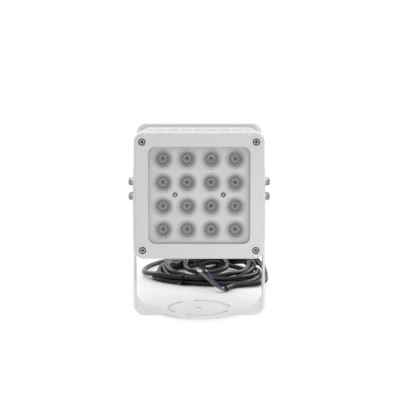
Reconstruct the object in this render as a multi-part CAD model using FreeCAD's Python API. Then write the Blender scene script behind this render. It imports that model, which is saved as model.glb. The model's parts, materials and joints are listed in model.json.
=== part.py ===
import FreeCAD, Part
import math
import os

from FreeCAD import Rotation, Vector

# Infrared illuminator: a square finned head that tilts between the arms of a U bracket.
# Millimetres, +Z up, window towards -Y. The origin is the centre of the base's centre hole,
# on the surface that the base stands on.

# bracket sheet
sheet = 1.8
bend_radius = 12.0
strap_depth = 53.0
arm_depth = 32.0
taper_low = 16.0
taper_high = 62.0
base_radius = 46.0
base_blend = 6.0
centre_hole_radius = 3.0
floor_slot_radius = 33.0
floor_slot_width = 4.0
floor_slot_count = 3
floor_slot_angle = 98.0
floor_slot_turn = 51.5

# tilt
pivot_height = 141.5
lock_reach = 16.0
tilt_up = 35.0
tilt_down = 35.0
slot_spare_angle = 1.5
pivot_fit = 0.05
slot_fit = 0.4
side_clearance = 0.3

# front bezel
bezel_width = 137.0
bezel_height = 134.5
bezel_depth = 20.0
bezel_corner = 10.0
bezel_round = 3.0
bezel_skin = 4.0
bezel_wall = 3.0
window_width = 107.0
window_height = 103.4
window_corner = 7.5
window_lip = 3.0
window_round = 0.8
window_lift = 0.8
face_to_pivot = 47.0
head_centre_drop = 8.4
bezel_screw_span_x = 119.6
bezel_screw_span_z = 115.6
screw_boss_radius = 6.2
screw_boss_height = 0.5

# glass
glass_overlap = 4.0
glass_side_gap = 0.3
glass_thickness = 3.0
glass_seal = 0.5
plate_bead = 0.4
plate_bead_width = 1.4

# lens field
lens_rows = 4
lens_columns = 4
lens_pitch_x = 25.4
lens_pitch_z = 25.2
plate_sheet = 1.5
plate_side_gap = 0.8
plate_hole_gap = 0.1
holder_radius = 10.8
holder_rim = 1.5
holder_foot_radius = 6.6
lens_flange = 1.1
lens_back_radius = 4.2
lens_recess_radius = 4.4
lens_recess_depth = 4.6
lens_to_emitter = 0.7
emitter_radius = 3.4
emitter_base = 1.0
emitter_dome = 1.9
plate_screw_well = 1.8
plate_well_floor = 1.2
board_sheet = 1.6
led_board_gap = 0.7
front_seal_inset = 0.5
front_seal_width = 2.0
front_seal_depth = 1.2

# housing
flange_step = 1.0
flange_thickness = 6.0
body_width = 130.0
body_height = 127.0
body_corner = 12.0
body_depth = 59.0
body_wall = 3.0
inner_wall = 4.0
fin_count = 9
fin_pitch = 13.55
fin_width = 2.5
fin_height = 7.0
fin_length = 26.7
side_pad_radius = 9.0
side_pad_height = 3.0
pad_sheet = 0.8
side_boss_radius = 6.0
side_boss_depth = 8.0
bolt_bite = 12.0
wire_hole_radius = 4.0
wire_hole_rows = 1.8

# rear cover
rear_width = 136.0
rear_height = 133.0
rear_corner = 10.0
rear_depth = 13.0
rear_wall = 3.0
rear_round = 3.0
rear_seal = 1.0
rear_seal_proud = 0.8
rear_screw_inset = 8.0
rear_boss_length = 20.0

# screws
cap_radius = 3.5
cap_height = 4.0
cap_clearance = 0.4
cap_sink = 0.4
screw_radius = 2.0
screw_fit = 0.1
socket_size = 3.0
socket_depth = 2.0
small_screw_radius = 1.5
small_head_radius = 2.4
small_head_height = 1.6
small_head_gap = 0.3
board_screw_length = 5.1
bolt_radius = 2.5
bolt_head_radius = 4.3
bolt_head_height = 3.2
bolt_socket = 3.2
thread_fit = 0.05
washer_radius = 5.0
washer_thickness = 1.0
spring_washer_radius = 4.4
spring_washer_thickness = 1.2
spring_washer_split = 1.0

# driver
driver_width = 96.0
driver_height = 64.0
standoff_length = 8.0
standoff_size = 5.0
standoff_inset = 5.0
drum_radius = 8.0
drum_core_radius = 6.4
drum_rim = 1.6
drum_height = 10.0
capacitor_radius = 5.0
capacitor_length = 14.0
capacitor_gap = 3.0
chip_width = 10.0
chip_depth = 4.5
chip_height = 9.0
small_chip_width = 6.0
small_chip_depth = 1.6
small_chip_height = 5.0
small_chip_gap = 6.0
terminal_pitch = 5.5
terminal_depth = 10.0
terminal_height = 9.0
terminal_screw_radius = 1.9
terminal_mouth = 3.2
terminal_edge = 1.0
lead_step = 1.0

# cable gland
gland_drop = 40.0
gland_hex = 15.0
gland_hex_length = 5.0
gland_thread_radius = 6.0
gland_thread_outside = 7.0
gland_thread_inside = 9.0
gland_nut_length = 12.0
gland_nut_mouth = 4.6
locknut_hex = 17.0
locknut_length = 4.0

# cable
cable_radius = 2.85
coil_centre = Vector(7.0, 184.5, 0)
coil_half_width = 73.0
coil_half_depth = 77.5
coil_height = 14.0
coil_hole_centre = Vector(12.0, 203.0, 0)
coil_hole_long = 48.0
coil_hole_short = 24.0
coil_hole_turn = -20.0
tie_x = -18.5
tie_band = 2.2
tie_thickness = 1.0
tie_reach = 25.0
tie_gap = 0.2
wire_radius = 0.65

# places that follow from the sizes
head_z = pivot_height - head_centre_drop
window_z = head_z + window_lift
face_y = -face_to_pivot
bezel_back = face_y + bezel_depth
body_back = bezel_back + body_depth
cover_front = body_back + rear_seal
cover_back = cover_front + rear_depth
glass_front = face_y + window_lip + glass_seal
glass_back = glass_front + glass_thickness
plate_front = glass_back + plate_bead
board_front = bezel_back - board_sheet
pad_reach = side_pad_height + pad_sheet
inner_width = max(max(bezel_width, rear_width) + 2 * side_clearance, body_width + 2 * pad_reach)
outer_width = inner_width + 2 * sheet
cavity_width = window_width + 2 * glass_overlap
cavity_height = window_height + 2 * glass_overlap
cavity_corner = window_corner + 1.5
wire_hole_drop = lens_pitch_z * wire_hole_rows
pad_face = body_width / 2 + side_pad_height
gland_z = head_z - gland_drop
gland_mouth = cover_back + rear_seal + gland_hex_length + 2.0 + gland_nut_length


def save(shape, node):
    shape.exportStep("parts/" + node + ".step")


def rounded_face(width, height, radius, y, centre_z):
    """A rounded rectangle that faces the front, as a face."""
    x = width / 2
    z = height / 2
    s = radius * math.sqrt(0.5)
    corners = [(x - radius, z - radius, 1, 1), (x - radius, radius - z, 1, -1),
               (radius - x, radius - z, -1, -1), (radius - x, z - radius, -1, 1)]
    starts = []
    middles = []
    ends = []
    for cx, cz, sx, sz in corners:
        top = Vector(cx, y, centre_z + cz + sz * radius)
        side = Vector(cx + sx * radius, y, centre_z + cz)
        starts.append(top if sx * sz > 0 else side)
        ends.append(side if sx * sz > 0 else top)
        middles.append(Vector(cx + sx * s, y, centre_z + cz + sz * s))
    edges = []
    for i in range(4):
        edges.append(Part.Arc(starts[i], middles[i], ends[i]).toShape())
        edges.append(Part.LineSegment(ends[i], starts[(i + 1) % 4]).toShape())
    return Part.Face(Part.Wire(edges))


def rounded_block(width, height, radius, y0, y1, centre_z=None):
    """A rounded rectangle carried from y0 to y1."""
    z = head_z if centre_z is None else centre_z
    return rounded_face(width, height, radius, y0, z).extrude(Vector(0, y1 - y0, 0))


def round_front(shape, y, radius, inside=None):
    """Rounds the outline of a block where it meets the plane at y."""
    edges = []
    for edge in shape.Edges:
        if all(abs(v.Point.y - y) < 1e-6 for v in edge.Vertexes):
            if inside is None or inside.isInside(edge.CenterOfMass, 1e-3, True):
                edges.append(edge)
    return shape.makeFillet(radius, edges)


def rod(start, direction, radius, length):
    return Part.makeCylinder(radius, length, start, direction)


def cap_bulge(radius, height):
    """Bulge of a turned span from the axis to a radius, so that it is part of a ball."""
    ball = (radius ** 2 + height ** 2) / (2 * height)
    return ball - math.sqrt(ball ** 2 - (radius ** 2 + height ** 2) / 4)


def turned(points, base, direction):
    """Revolves (radius, distance) points about a line; a third value bulges the span before it."""
    edges = []
    previous = None
    for point in points + [points[0]]:
        here = Vector(point[0], 0, point[1])
        if previous is not None and (here - previous).Length > 1e-7:
            bulge = point[2] if len(point) > 2 and point is not points[0] else 0
            if bulge:
                along = here - previous
                normal = Vector(-along.z, 0, along.x).normalize()
                middle = (here + previous) * 0.5 + normal * bulge
                edges.append(Part.Arc(previous, middle, here).toShape())
            else:
                edges.append(Part.LineSegment(previous, here).toShape())
        previous = here
    solid = Part.Face(Part.Wire(edges)).revolve(Vector(0, 0, 0), Vector(0, 0, 1), 360)
    solid.Placement = FreeCAD.Placement(base, Rotation(Vector(0, 0, 1), direction))
    return solid


def hexagon(across, base, direction, length):
    """A hexagonal bar that starts at base."""
    r = across / math.sqrt(3)
    points = [Vector(r * math.cos(math.pi * i / 3), r * math.sin(math.pi * i / 3), 0) for i in range(7)]
    bar = Part.Face(Part.makePolygon(points)).extrude(Vector(0, 0, length))
    bar.Placement = FreeCAD.Placement(base, Rotation(Vector(0, 0, 1), direction))
    return bar


def corner_places(span_x, span_z, centre_z):
    return [Vector(sx * span_x / 2, 0, centre_z + sz * span_z / 2) for sx in (-1, 1) for sz in (-1, 1)]


def lens_places():
    """Row, column and centre of each lens, from the top left as seen from the front."""
    places = []
    for row in range(lens_rows):
        for column in range(lens_columns):
            x = (column - (lens_columns - 1) / 2) * lens_pitch_x
            z = window_z + ((lens_rows - 1) / 2 - row) * lens_pitch_z
            places.append((row + 1, column + 1, x, z))
    return places


def cap_screw(base, direction, length):
    """Socket head cap screw: base is under the head, and the shank runs along direction."""
    head = rod(base - direction * cap_height, direction, cap_radius, cap_height)
    rim = [e for e in head.Edges if (e.CenterOfMass - (base - direction * cap_height)).Length < 1e-3]
    head = head.makeChamfer(0.35, rim)
    socket = hexagon(socket_size, base - direction * cap_height, direction, socket_depth)
    return head.cut(socket).fuse(rod(base, direction, screw_radius, length)).removeSplitter()


def small_screw(base, direction, length):
    """Pan head screw: base is under the head."""
    head = turned([(0, 0), (small_head_radius, 0), (small_head_radius * 0.75, small_head_height, -0.25),
                   (0, small_head_height)], base, direction * -1)
    recess = Part.makeBox(small_head_radius * 1.4, 0.5, 0.6,
                          Vector(-small_head_radius * 0.7, -0.25, small_head_height - 0.6))
    recess.Placement = FreeCAD.Placement(base, Rotation(Vector(0, 0, 1), direction * -1)).multiply(
        recess.Placement)
    return head.cut(recess).fuse(rod(base, direction, small_screw_radius, length)).removeSplitter()


def tube(points, radius, name):
    """A round tube along straight runs joined by tangent arcs as large as the runs allow."""
    edges = []
    radii = []
    cursor = points[0]
    for i in range(1, len(points) - 1):
        before = points[i] - points[i - 1]
        after = points[i + 1] - points[i]
        turn = before.getAngle(after)
        reach = 0.45 * min(before.Length, after.Length)
        radii.append(reach / math.tan(turn / 2))
        into = points[i] - before.normalize() * reach
        out = points[i] + after.normalize() * reach
        middle_way = (into + out) * 0.5 - points[i]
        r = radii[-1]
        depth = r / math.cos(turn / 2) - r
        middle = points[i] + middle_way.normalize() * depth
        edges.append(Part.LineSegment(cursor, into).toShape())
        edges.append(Part.Arc(into, middle, out).toShape())
        cursor = out
    edges.append(Part.LineSegment(cursor, points[-1]).toShape())
    path = Part.Wire(edges)
    start = points[1] - points[0]
    ring = Part.Wire([Part.Circle(points[0], start, radius).toShape()])
    solid = path.makePipeShell([ring], True, False)
    expected = math.pi * radius ** 2 * path.Length
    print(name, "length", round(path.Length, 1), "smallest radius", round(min(radii), 1),
          "volume share", round(solid.Volume / expected, 4))
    return solid


def front_bezel():
    frame = rounded_block(bezel_width, bezel_height, bezel_corner, face_y, bezel_back)
    frame = round_front(frame, face_y, bezel_round)
    screws = corner_places(bezel_screw_span_x, bezel_screw_span_z, head_z)
    for place in screws:
        base = place + Vector(0, face_y - screw_boss_height, 0)
        frame = frame.fuse(rod(base, Vector(0, 1, 0), screw_boss_radius, screw_boss_height + bezel_round))
    opening = rounded_block(window_width, window_height, window_corner, face_y, bezel_back, window_z)
    cavity = rounded_block(cavity_width, cavity_height, cavity_corner, face_y + window_lip, bezel_back, window_z)
    outline = rounded_block(bezel_width - 2 * bezel_wall, bezel_height - 2 * bezel_wall,
                            bezel_corner - bezel_wall, face_y + bezel_skin, bezel_back)
    inner_wall_block = rounded_block(cavity_width + 2 * bezel_wall, cavity_height + 2 * bezel_wall,
                                     cavity_corner + bezel_wall, face_y + bezel_skin, bezel_back, window_z)
    trench = outline.cut(inner_wall_block)
    for place in screws:
        column = rod(place + Vector(0, face_y, 0), Vector(0, 1, 0), screw_boss_radius, bezel_depth)
        trench = trench.cut(column)
    frame = frame.cut(opening).cut(cavity).cut(trench)
    frame = round_front(frame, face_y, window_round, opening)
    seat = cap_height + cap_sink - screw_boss_height
    for place in screws:
        start = place + Vector(0, face_y - screw_boss_height - 1, 0)
        frame = frame.cut(rod(start, Vector(0, 1, 0), cap_radius + cap_clearance, seat + screw_boss_height + 1))
        frame = frame.cut(rod(start, Vector(0, 1, 0), screw_radius + screw_fit, bezel_depth + 5))
    return frame.removeSplitter()


def bezel_screws():
    seat = face_y + cap_height + cap_sink - screw_boss_height
    length = bezel_back + flange_thickness - 0.5 - seat
    return [cap_screw(place + Vector(0, seat, 0), Vector(0, 1, 0), length)
            for place in corner_places(bezel_screw_span_x, bezel_screw_span_z, head_z)]


def window_glass():
    return rounded_block(cavity_width - 2 * glass_side_gap, cavity_height - 2 * glass_side_gap,
                         cavity_corner - glass_side_gap, glass_front, glass_back, window_z)


def window_gasket():
    outer = rounded_block(cavity_width - 2 * glass_side_gap, cavity_height - 2 * glass_side_gap,
                          cavity_corner - glass_side_gap, face_y + window_lip, glass_front, window_z)
    inner = rounded_block(window_width + 1, window_height + 1, window_corner + 0.5,
                          face_y + window_lip, glass_front, window_z)
    return outer.cut(inner)


def lens_plate():
    """White tray: front sheet with a bead against the glass, and a skirt back to the housing."""
    width = cavity_width - 2 * plate_side_gap
    height = cavity_height - 2 * plate_side_gap
    corner = cavity_corner - plate_side_gap
    tray = rounded_block(width, height, corner, glass_back, bezel_back, window_z)
    bead = plate_bead_width
    tray = tray.cut(rounded_block(width - 2 * bead, height - 2 * bead, corner - bead,
                                  glass_back, plate_front, window_z))
    tray = tray.cut(rounded_block(width - 2 * plate_sheet, height - 2 * plate_sheet, corner - plate_sheet,
                                  plate_front + plate_sheet, bezel_back, window_z))
    for row, column, x, z in lens_places():
        hole = rod(Vector(x, plate_front - 1, z), Vector(0, 1, 0), holder_radius + plate_hole_gap, plate_sheet + 2)
        tray = tray.cut(hole)
    for place in plate_screw_places():
        front = place + Vector(0, plate_front, 0)
        well = small_head_radius + small_head_gap
        tray = tray.fuse(rod(front, Vector(0, 1, 0), well + plate_well_floor, plate_screw_well + plate_well_floor))
        tray = tray.cut(rod(front, Vector(0, 1, 0), well, plate_screw_well))
        tray = tray.cut(rod(front, Vector(0, 1, 0), small_screw_radius + screw_fit,
                            plate_screw_well + plate_well_floor))
    return tray


def plate_screw_places():
    return [Vector(side * lens_pitch_x, 0, window_z) for side in (-1, 1)]


def plate_spacers():
    spacers = []
    for place in plate_screw_places():
        start = place + Vector(0, plate_front + plate_screw_well + plate_well_floor, 0)
        length = board_front - start.y
        post = hexagon(2 * small_head_radius, start, Vector(0, 1, 0), length)
        spacers.append(post.cut(rod(start, Vector(0, 1, 0), small_screw_radius + screw_fit, length)))
    return spacers


def lens_plate_screws():
    seat = plate_front + plate_screw_well
    length = bezel_back + inner_wall - 0.5 - seat
    return [small_screw(place + Vector(0, seat, 0), Vector(0, 1, 0), length) for place in plate_screw_places()]


def lens_holder(x, z):
    """White cup: a rim flush with the plate, and a tapering foot on the board."""
    depth = board_front - plate_front
    lens_radius = holder_radius - holder_rim
    base = Vector(x, plate_front, z)
    return turned([(lens_radius + screw_fit, 0), (holder_radius, 0), (holder_radius, depth * 0.25),
                   (holder_foot_radius, depth), (holder_foot_radius - 1.2, depth),
                   (lens_radius - 0.4, lens_flange), (lens_radius + screw_fit, lens_flange)],
                  base, Vector(0, 1, 0))


def lens(x, z):
    """Clear collimator: flat front with a deep round recess, curved flank, cavity over the emitter."""
    depth = board_front - plate_front
    radius = holder_radius - holder_rim
    back = depth - emitter_base - lens_to_emitter
    cavity_radius = emitter_dome + lens_to_emitter
    cavity_rim = back - emitter_base
    cavity_rise = emitter_dome
    base = Vector(x, plate_front, z)
    return turned([(0, lens_recess_depth), (0, cavity_rim - cavity_rise),
                   (cavity_radius, cavity_rim, cap_bulge(cavity_radius, cavity_rise)), (cavity_radius, back),
                   (lens_back_radius, back), (radius - 0.7, lens_flange, 0.7), (radius, lens_flange),
                   (radius, 0), (lens_recess_radius, 0), (lens_recess_radius - 0.2, lens_recess_depth)],
                  base, Vector(0, 1, 0))


def emitter(x, z):
    """Round base on the board with a small dome."""
    base = Vector(x, board_front, z)
    return turned([(0, 0), (emitter_radius, 0), (emitter_radius, emitter_base), (emitter_dome, emitter_base),
                   (0, emitter_base + emitter_dome, -cap_bulge(emitter_dome, emitter_dome))],
                  base, Vector(0, -1, 0))


def led_board():
    inset = plate_side_gap + plate_sheet + led_board_gap
    board = rounded_block(cavity_width - 2 * inset, cavity_height - 2 * inset, cavity_corner - inset,
                          board_front, bezel_back, window_z)
    for place in plate_screw_places() + board_screw_places():
        board = board.cut(rod(place + Vector(0, board_front - 1, 0), Vector(0, 1, 0),
                              small_screw_radius + screw_fit, board_sheet + 2))
    hole = Vector(0, board_front - 1, head_z - wire_hole_drop)
    return board.cut(rod(hole, Vector(0, 1, 0), wire_hole_radius - 1, board_sheet + 2))


def board_screw_places():
    inset = plate_side_gap + plate_sheet + led_board_gap + small_head_radius + 1.2
    return corner_places(cavity_width - 2 * inset, cavity_height - 2 * inset, window_z)


def board_screws():
    """The small screws of both boards, all alike."""
    front = [small_screw(place + Vector(0, board_front, 0), Vector(0, 1, 0), board_screw_length)
             for place in board_screw_places()]
    rear = [small_screw(place + Vector(0, driver_front() + board_sheet, 0), Vector(0, -1, 0), board_screw_length)
            for place in standoff_places()]
    return front + rear


def gasket_ring(gap):
    """Ring behind the wall round the bezel's cavity; gap widens it into its groove."""
    near = front_seal_inset - gap
    far = front_seal_inset + front_seal_width + gap
    outer = rounded_block(cavity_width + 2 * far, cavity_height + 2 * far, cavity_corner + far,
                          bezel_back, bezel_back + front_seal_depth, window_z)
    inner = rounded_block(cavity_width + 2 * near, cavity_height + 2 * near, cavity_corner + near,
                          bezel_back, bezel_back + front_seal_depth, window_z)
    return outer.cut(inner)


def fin_pockets():
    """Pockets between the fins, along the top and bottom of the body behind the flange."""
    pockets = []
    start = bezel_back + flange_thickness
    for side in (-1, 1):
        for i in range(fin_count):
            x = (i - (fin_count - 1) / 2) * fin_pitch
            width = fin_pitch - fin_width
            low = head_z + side * (body_height / 2 - fin_height / 2) - fin_height / 2
            pocket = Part.makeBox(width, fin_length, fin_height + 1,
                                  Vector(x - width / 2, start, low if side > 0 else low - 1))
            upright = [e for e in pocket.Edges if abs(e.Vertexes[0].Z - e.Vertexes[1].Z) > 1
                       and e.Vertexes[0].Y > start + 1]
            pockets.append(pocket.makeFillet(1.5, upright))
    return pockets


def side_pad(side, x0, x1, radius):
    """Pad that runs round both bolts of one side, from x0 to x1 away from the centre."""
    low = Vector(side * x0, 0, pivot_height - lock_reach)
    high = Vector(side * x0, 0, pivot_height)
    out = Vector(side, 0, 0)
    block = Part.makeBox(x1 - x0, 2 * radius, lock_reach,
                         Vector(x0 if side > 0 else -x1, -radius, pivot_height - lock_reach))
    return rod(low, out, radius, x1 - x0).fuse(rod(high, out, radius, x1 - x0)).fuse(block).removeSplitter()


def bolt_heights():
    return [pivot_height, pivot_height - lock_reach]


def housing():
    flange_width = bezel_width - 2 * flange_step
    flange_height = bezel_height - 2 * flange_step
    body = rounded_block(body_width, body_height, body_corner, bezel_back, body_back)
    body = body.fuse(rounded_block(flange_width, flange_height, bezel_corner - flange_step,
                                   bezel_back, bezel_back + flange_thickness))
    for side in (-1, 1):
        body = body.fuse(side_pad(side, body_width / 2 - body_wall, pad_face, side_pad_radius))
    core_front = bezel_back + inner_wall
    fin_end = bezel_back + flange_thickness + fin_length + body_wall
    core_width = body_width - 2 * body_wall
    low_core = rounded_block(core_width, body_height - 2 * (body_wall + fin_height), body_corner - body_wall,
                             core_front, body_back)
    high_core = rounded_block(core_width, body_height - 2 * body_wall, body_corner - body_wall,
                              fin_end, body_back)
    core = low_core.fuse(high_core)
    for place in rear_screw_places():
        boss = rod(place + Vector(0, body_back - rear_boss_length, 0), Vector(0, 1, 0),
                   rear_screw_inset - body_wall, rear_boss_length)
        core = core.cut(boss)
    for side in (-1, 1):
        for z in bolt_heights():
            start = Vector(side * (core_width / 2 - side_boss_depth), 0, z)
            core = core.cut(rod(start, Vector(side, 0, 0), side_boss_radius, side_boss_depth))
    body = body.cut(core)
    body = body.cut(Part.makeCompound(fin_pockets()))
    body = body.cut(gasket_ring(screw_fit))
    for place in rear_screw_places():
        body = body.cut(rod(place + Vector(0, body_back + 1, 0), Vector(0, -1, 0),
                            screw_radius + thread_fit, rear_boss_length - 4))
    for place in corner_places(bezel_screw_span_x, bezel_screw_span_z, head_z):
        body = body.cut(rod(place + Vector(0, bezel_back - 1, 0), Vector(0, 1, 0),
                            screw_radius + thread_fit, flange_thickness + 2))
    for place in plate_screw_places() + board_screw_places():
        body = body.cut(rod(place + Vector(0, bezel_back - 1, 0), Vector(0, 1, 0),
                            small_screw_radius + thread_fit, inner_wall + 2))
    for place in standoff_places():
        body = body.cut(rod(place + Vector(0, bezel_back + 1, 0), Vector(0, 1, 0),
                            small_screw_radius + thread_fit, inner_wall))
    body = body.cut(rod(Vector(0, bezel_back - 1, head_z - wire_hole_drop), Vector(0, 1, 0),
                        wire_hole_radius, inner_wall + 2))
    for side in (-1, 1):
        for z in bolt_heights():
            body = body.cut(rod(Vector(side * (pad_face + 1), 0, z), Vector(-side, 0, 0),
                                bolt_radius + thread_fit, bolt_bite + 1))
    return body.removeSplitter()


def rear_screw_places():
    return corner_places(body_width - 2 * rear_screw_inset, body_height - 2 * rear_screw_inset, head_z)


def rear_gasket():
    outer = rounded_block(body_width + 2 * rear_seal_proud, body_height + 2 * rear_seal_proud,
                          body_corner + rear_seal_proud, body_back, cover_front)
    inner = rounded_block(body_width - 2 * body_wall, body_height - 2 * body_wall, body_corner - body_wall,
                          body_back, cover_front)
    for place in rear_screw_places():
        ear = rod(place + Vector(0, body_back, 0), Vector(0, 1, 0), rear_screw_inset - body_wall, rear_seal)
        inner = inner.cut(ear)
        outer = outer.cut(rod(place + Vector(0, body_back, 0), Vector(0, 1, 0),
                              screw_radius + screw_fit, rear_seal))
    return outer.cut(inner)


def rear_cover():
    shell = rounded_block(rear_width, rear_height, rear_corner, cover_front, cover_back)
    shell = round_front(shell, cover_back, rear_round)
    hollow = rounded_block(body_width - 2 * body_wall, body_height - 2 * body_wall, body_corner - body_wall,
                           cover_front, cover_back - rear_wall)
    for place in rear_screw_places():
        hollow = hollow.cut(rod(place + Vector(0, cover_front, 0), Vector(0, 1, 0),
                                rear_screw_inset - body_wall, rear_depth))
    shell = shell.cut(hollow)
    for place in rear_screw_places():
        back = place + Vector(0, cover_back + 1, 0)
        shell = shell.cut(rod(back, Vector(0, -1, 0), cap_radius + cap_clearance, cap_height + cap_sink + 1))
        shell = shell.cut(rod(back, Vector(0, -1, 0), screw_radius + screw_fit, rear_depth + 2))
    return shell.cut(rod(Vector(0, cover_back + 1, gland_z), Vector(0, -1, 0),
                         gland_thread_radius + screw_fit, rear_wall + 2))


def rear_screws():
    seat = cover_back - cap_height - cap_sink
    length = seat - body_back + rear_boss_length - 6
    return [cap_screw(place + Vector(0, seat, 0), Vector(0, -1, 0), length) for place in rear_screw_places()]


def gland():
    """Body, nut, seal, locknut and washer of the cable gland."""
    out = Vector(0, 1, 0)
    wall = Vector(0, cover_back, gland_z)
    bore = cable_radius + 0.45
    washer = rod(wall, out, gland_hex / 2 + 1, rear_seal).cut(rod(wall, out, gland_thread_radius + screw_fit, rear_seal))
    hex_start = wall + out * rear_seal
    body = hexagon(gland_hex, hex_start, out, gland_hex_length)
    thread_length = gland_thread_inside + rear_seal + gland_hex_length + gland_thread_outside
    body = body.fuse(rod(wall - out * gland_thread_inside, out, gland_thread_radius, thread_length))
    body = body.cut(rod(wall - out * gland_thread_inside, out, bore, thread_length))
    nut_start = hex_start + out * (gland_hex_length + 2.0)
    thread_end = hex_start.y + gland_hex_length + gland_thread_outside - nut_start.y
    grip = gland_nut_length * 0.6
    nut = hexagon(gland_hex, nut_start, out, grip)
    nut = nut.common(turned([(0, 0), (gland_hex / 2 + 0.6, 0), (gland_hex / 2 + 0.6, grip - 0.6),
                             (gland_hex / 2 - 0.3, grip), (0, grip)], nut_start, out))
    dome = turned([(0, grip - 0.1), (gland_hex / 2 - 0.4, grip - 0.1), (gland_nut_mouth, gland_nut_length, -0.6),
                   (0, gland_nut_length)], nut_start, out)
    nut = nut.fuse(dome)
    nut = nut.cut(rod(nut_start, out, gland_thread_radius + thread_fit, thread_end + 0.2))
    nut = nut.cut(rod(nut_start, out, cable_radius + 0.25, gland_nut_length))
    seal_start = nut_start + out * (thread_end + 0.2)
    seal_room = gland_nut_length - thread_end - 0.2 - 2.0
    nut = nut.cut(rod(seal_start, out, gland_nut_mouth + 0.2, seal_room))
    seal = rod(seal_start, out, gland_nut_mouth + 0.1, seal_room).cut(rod(seal_start, out, cable_radius + 0.05, seal_room))
    inside = Vector(0, cover_back - rear_wall, gland_z)
    locknut = hexagon(locknut_hex, inside, out * -1, locknut_length)
    locknut = locknut.cut(rod(inside, out * -1, gland_thread_radius + thread_fit, locknut_length))
    return {"gland_body": body, "gland_nut": nut.removeSplitter(), "gland_seal": seal,
            "gland_locknut": locknut, "gland_washer": washer}


def cable_entry():
    start = Vector(0, cover_back - gland_thread_inside - 3, gland_z)
    return rod(start, Vector(0, 1, 0), cable_radius, gland_mouth - start.y)


def standoff_places():
    return corner_places(driver_width - 2 * standoff_inset, driver_height - 2 * standoff_inset, head_z)


def driver_front():
    return bezel_back + inner_wall + standoff_length


def board_standoffs():
    posts = []
    for place in standoff_places():
        start = place + Vector(0, bezel_back + inner_wall, 0)
        stud = rod(start - Vector(0, inner_wall - 1.2, 0), Vector(0, 1, 0), small_screw_radius, inner_wall - 1.2)
        post = hexagon(standoff_size, start, Vector(0, 1, 0), standoff_length)
        bore = rod(start + Vector(0, standoff_length, 0), Vector(0, -1, 0), small_screw_radius + thread_fit, 6)
        posts.append(post.fuse(stud).cut(bore))
    return posts


def driver_board():
    board = Part.makeBox(driver_width, board_sheet, driver_height,
                         Vector(-driver_width / 2, driver_front(), head_z - driver_height / 2))
    for place in standoff_places():
        board = board.cut(rod(place + Vector(0, driver_front() - 1, 0), Vector(0, 1, 0),
                              small_screw_radius + screw_fit, board_sheet + 2))
    return board


def driver_parts():
    """What stands on the driver board: a drum coil, two capacitors, chips and the terminal block."""
    y = driver_front() + board_sheet
    out = Vector(0, 1, 0)
    left = -driver_width / 4
    high = head_z + driver_height / 8
    drum = turned([(0, 0), (drum_radius, 0), (drum_radius, drum_rim), (drum_core_radius, drum_rim),
                   (drum_core_radius, drum_height - drum_rim), (drum_radius, drum_height - drum_rim),
                   (drum_radius, drum_height), (0, drum_height)], Vector(left, y, high), out)
    first = -left / 6
    caps = []
    for i in range(2):
        x = first + i * (2 * capacitor_radius + capacitor_gap)
        caps.append(rod(Vector(x, y, high + capacitor_radius), out, capacitor_radius, capacitor_length))
    low = head_z - driver_height / 5
    chips = [Part.makeBox(chip_width, chip_depth, chip_height, Vector(left / 3, y, low))]
    for i in range(2):
        x = -left / 2 + i * (small_chip_width + small_chip_gap)
        chips.append(Part.makeBox(small_chip_width, small_chip_depth, small_chip_height,
                                  Vector(x, y, low + small_chip_height)))
    block_low = head_z - driver_height / 2 + terminal_edge
    block = Part.makeBox(4 * terminal_pitch, terminal_depth, terminal_height,
                         Vector(-2 * terminal_pitch, y, block_low))
    half = terminal_mouth / 2
    for i in range(4):
        x = (i - 1.5) * terminal_pitch
        block = block.cut(rod(Vector(x, y + terminal_depth, block_low + terminal_height / 2), out * -1,
                              terminal_screw_radius, terminal_depth * 0.4))
        block = block.cut(Part.makeBox(terminal_mouth, terminal_mouth, terminal_height / 2,
                                       Vector(x - half, y + terminal_depth / 5, block_low - terminal_edge)))
    return {"driver_coil": drum, "capacitors": Part.makeCompound(caps), "driver_chips": Part.makeCompound(chips),
            "terminal_block": block}


def inner_leads():
    """Supply wires from the gland to the terminals, and wires from there to the board of emitters."""
    terminal_z = head_z - driver_height / 2 + terminal_edge
    terminal_y = driver_front() + board_sheet + terminal_depth / 5 + terminal_mouth / 2
    entry = cable_entry().BoundBox.YMin
    near = cable_radius * 0.42
    seat = terminal_z + 2 * lead_step
    supply = []
    led = []
    for side in (-1, 1):
        x = side * terminal_pitch / 2
        start = Vector(side * near, entry, gland_z)
        points = [start, start + Vector(0, -12 * lead_step, 0),
                  Vector(x, terminal_y + 6 * lead_step, terminal_z - 9 * lead_step),
                  Vector(x + side * 0.3 * lead_step, terminal_y, terminal_z - 4.5 * lead_step),
                  Vector(x, terminal_y, seat)]
        supply.append(tube(points, wire_radius, "supply lead"))
        x = side * 1.5 * terminal_pitch
        through = side * wire_hole_radius * 0.35
        points = [Vector(x, terminal_y, seat), Vector(x, terminal_y, terminal_z - 9 * lead_step),
                  Vector(side * wire_hole_radius, bezel_back + inner_wall + 6 * lead_step,
                         head_z - wire_hole_drop + 4 * lead_step),
                  Vector(through, bezel_back + 3 * lead_step, head_z - wire_hole_drop),
                  Vector(through, board_front - 0.2 * lead_step, head_z - wire_hole_drop - 0.1 * lead_step)]
        led.append(tube(points, wire_radius, "emitter lead"))
    return {"supply_leads": Part.makeCompound(supply), "led_leads": Part.makeCompound(led)}


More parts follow.
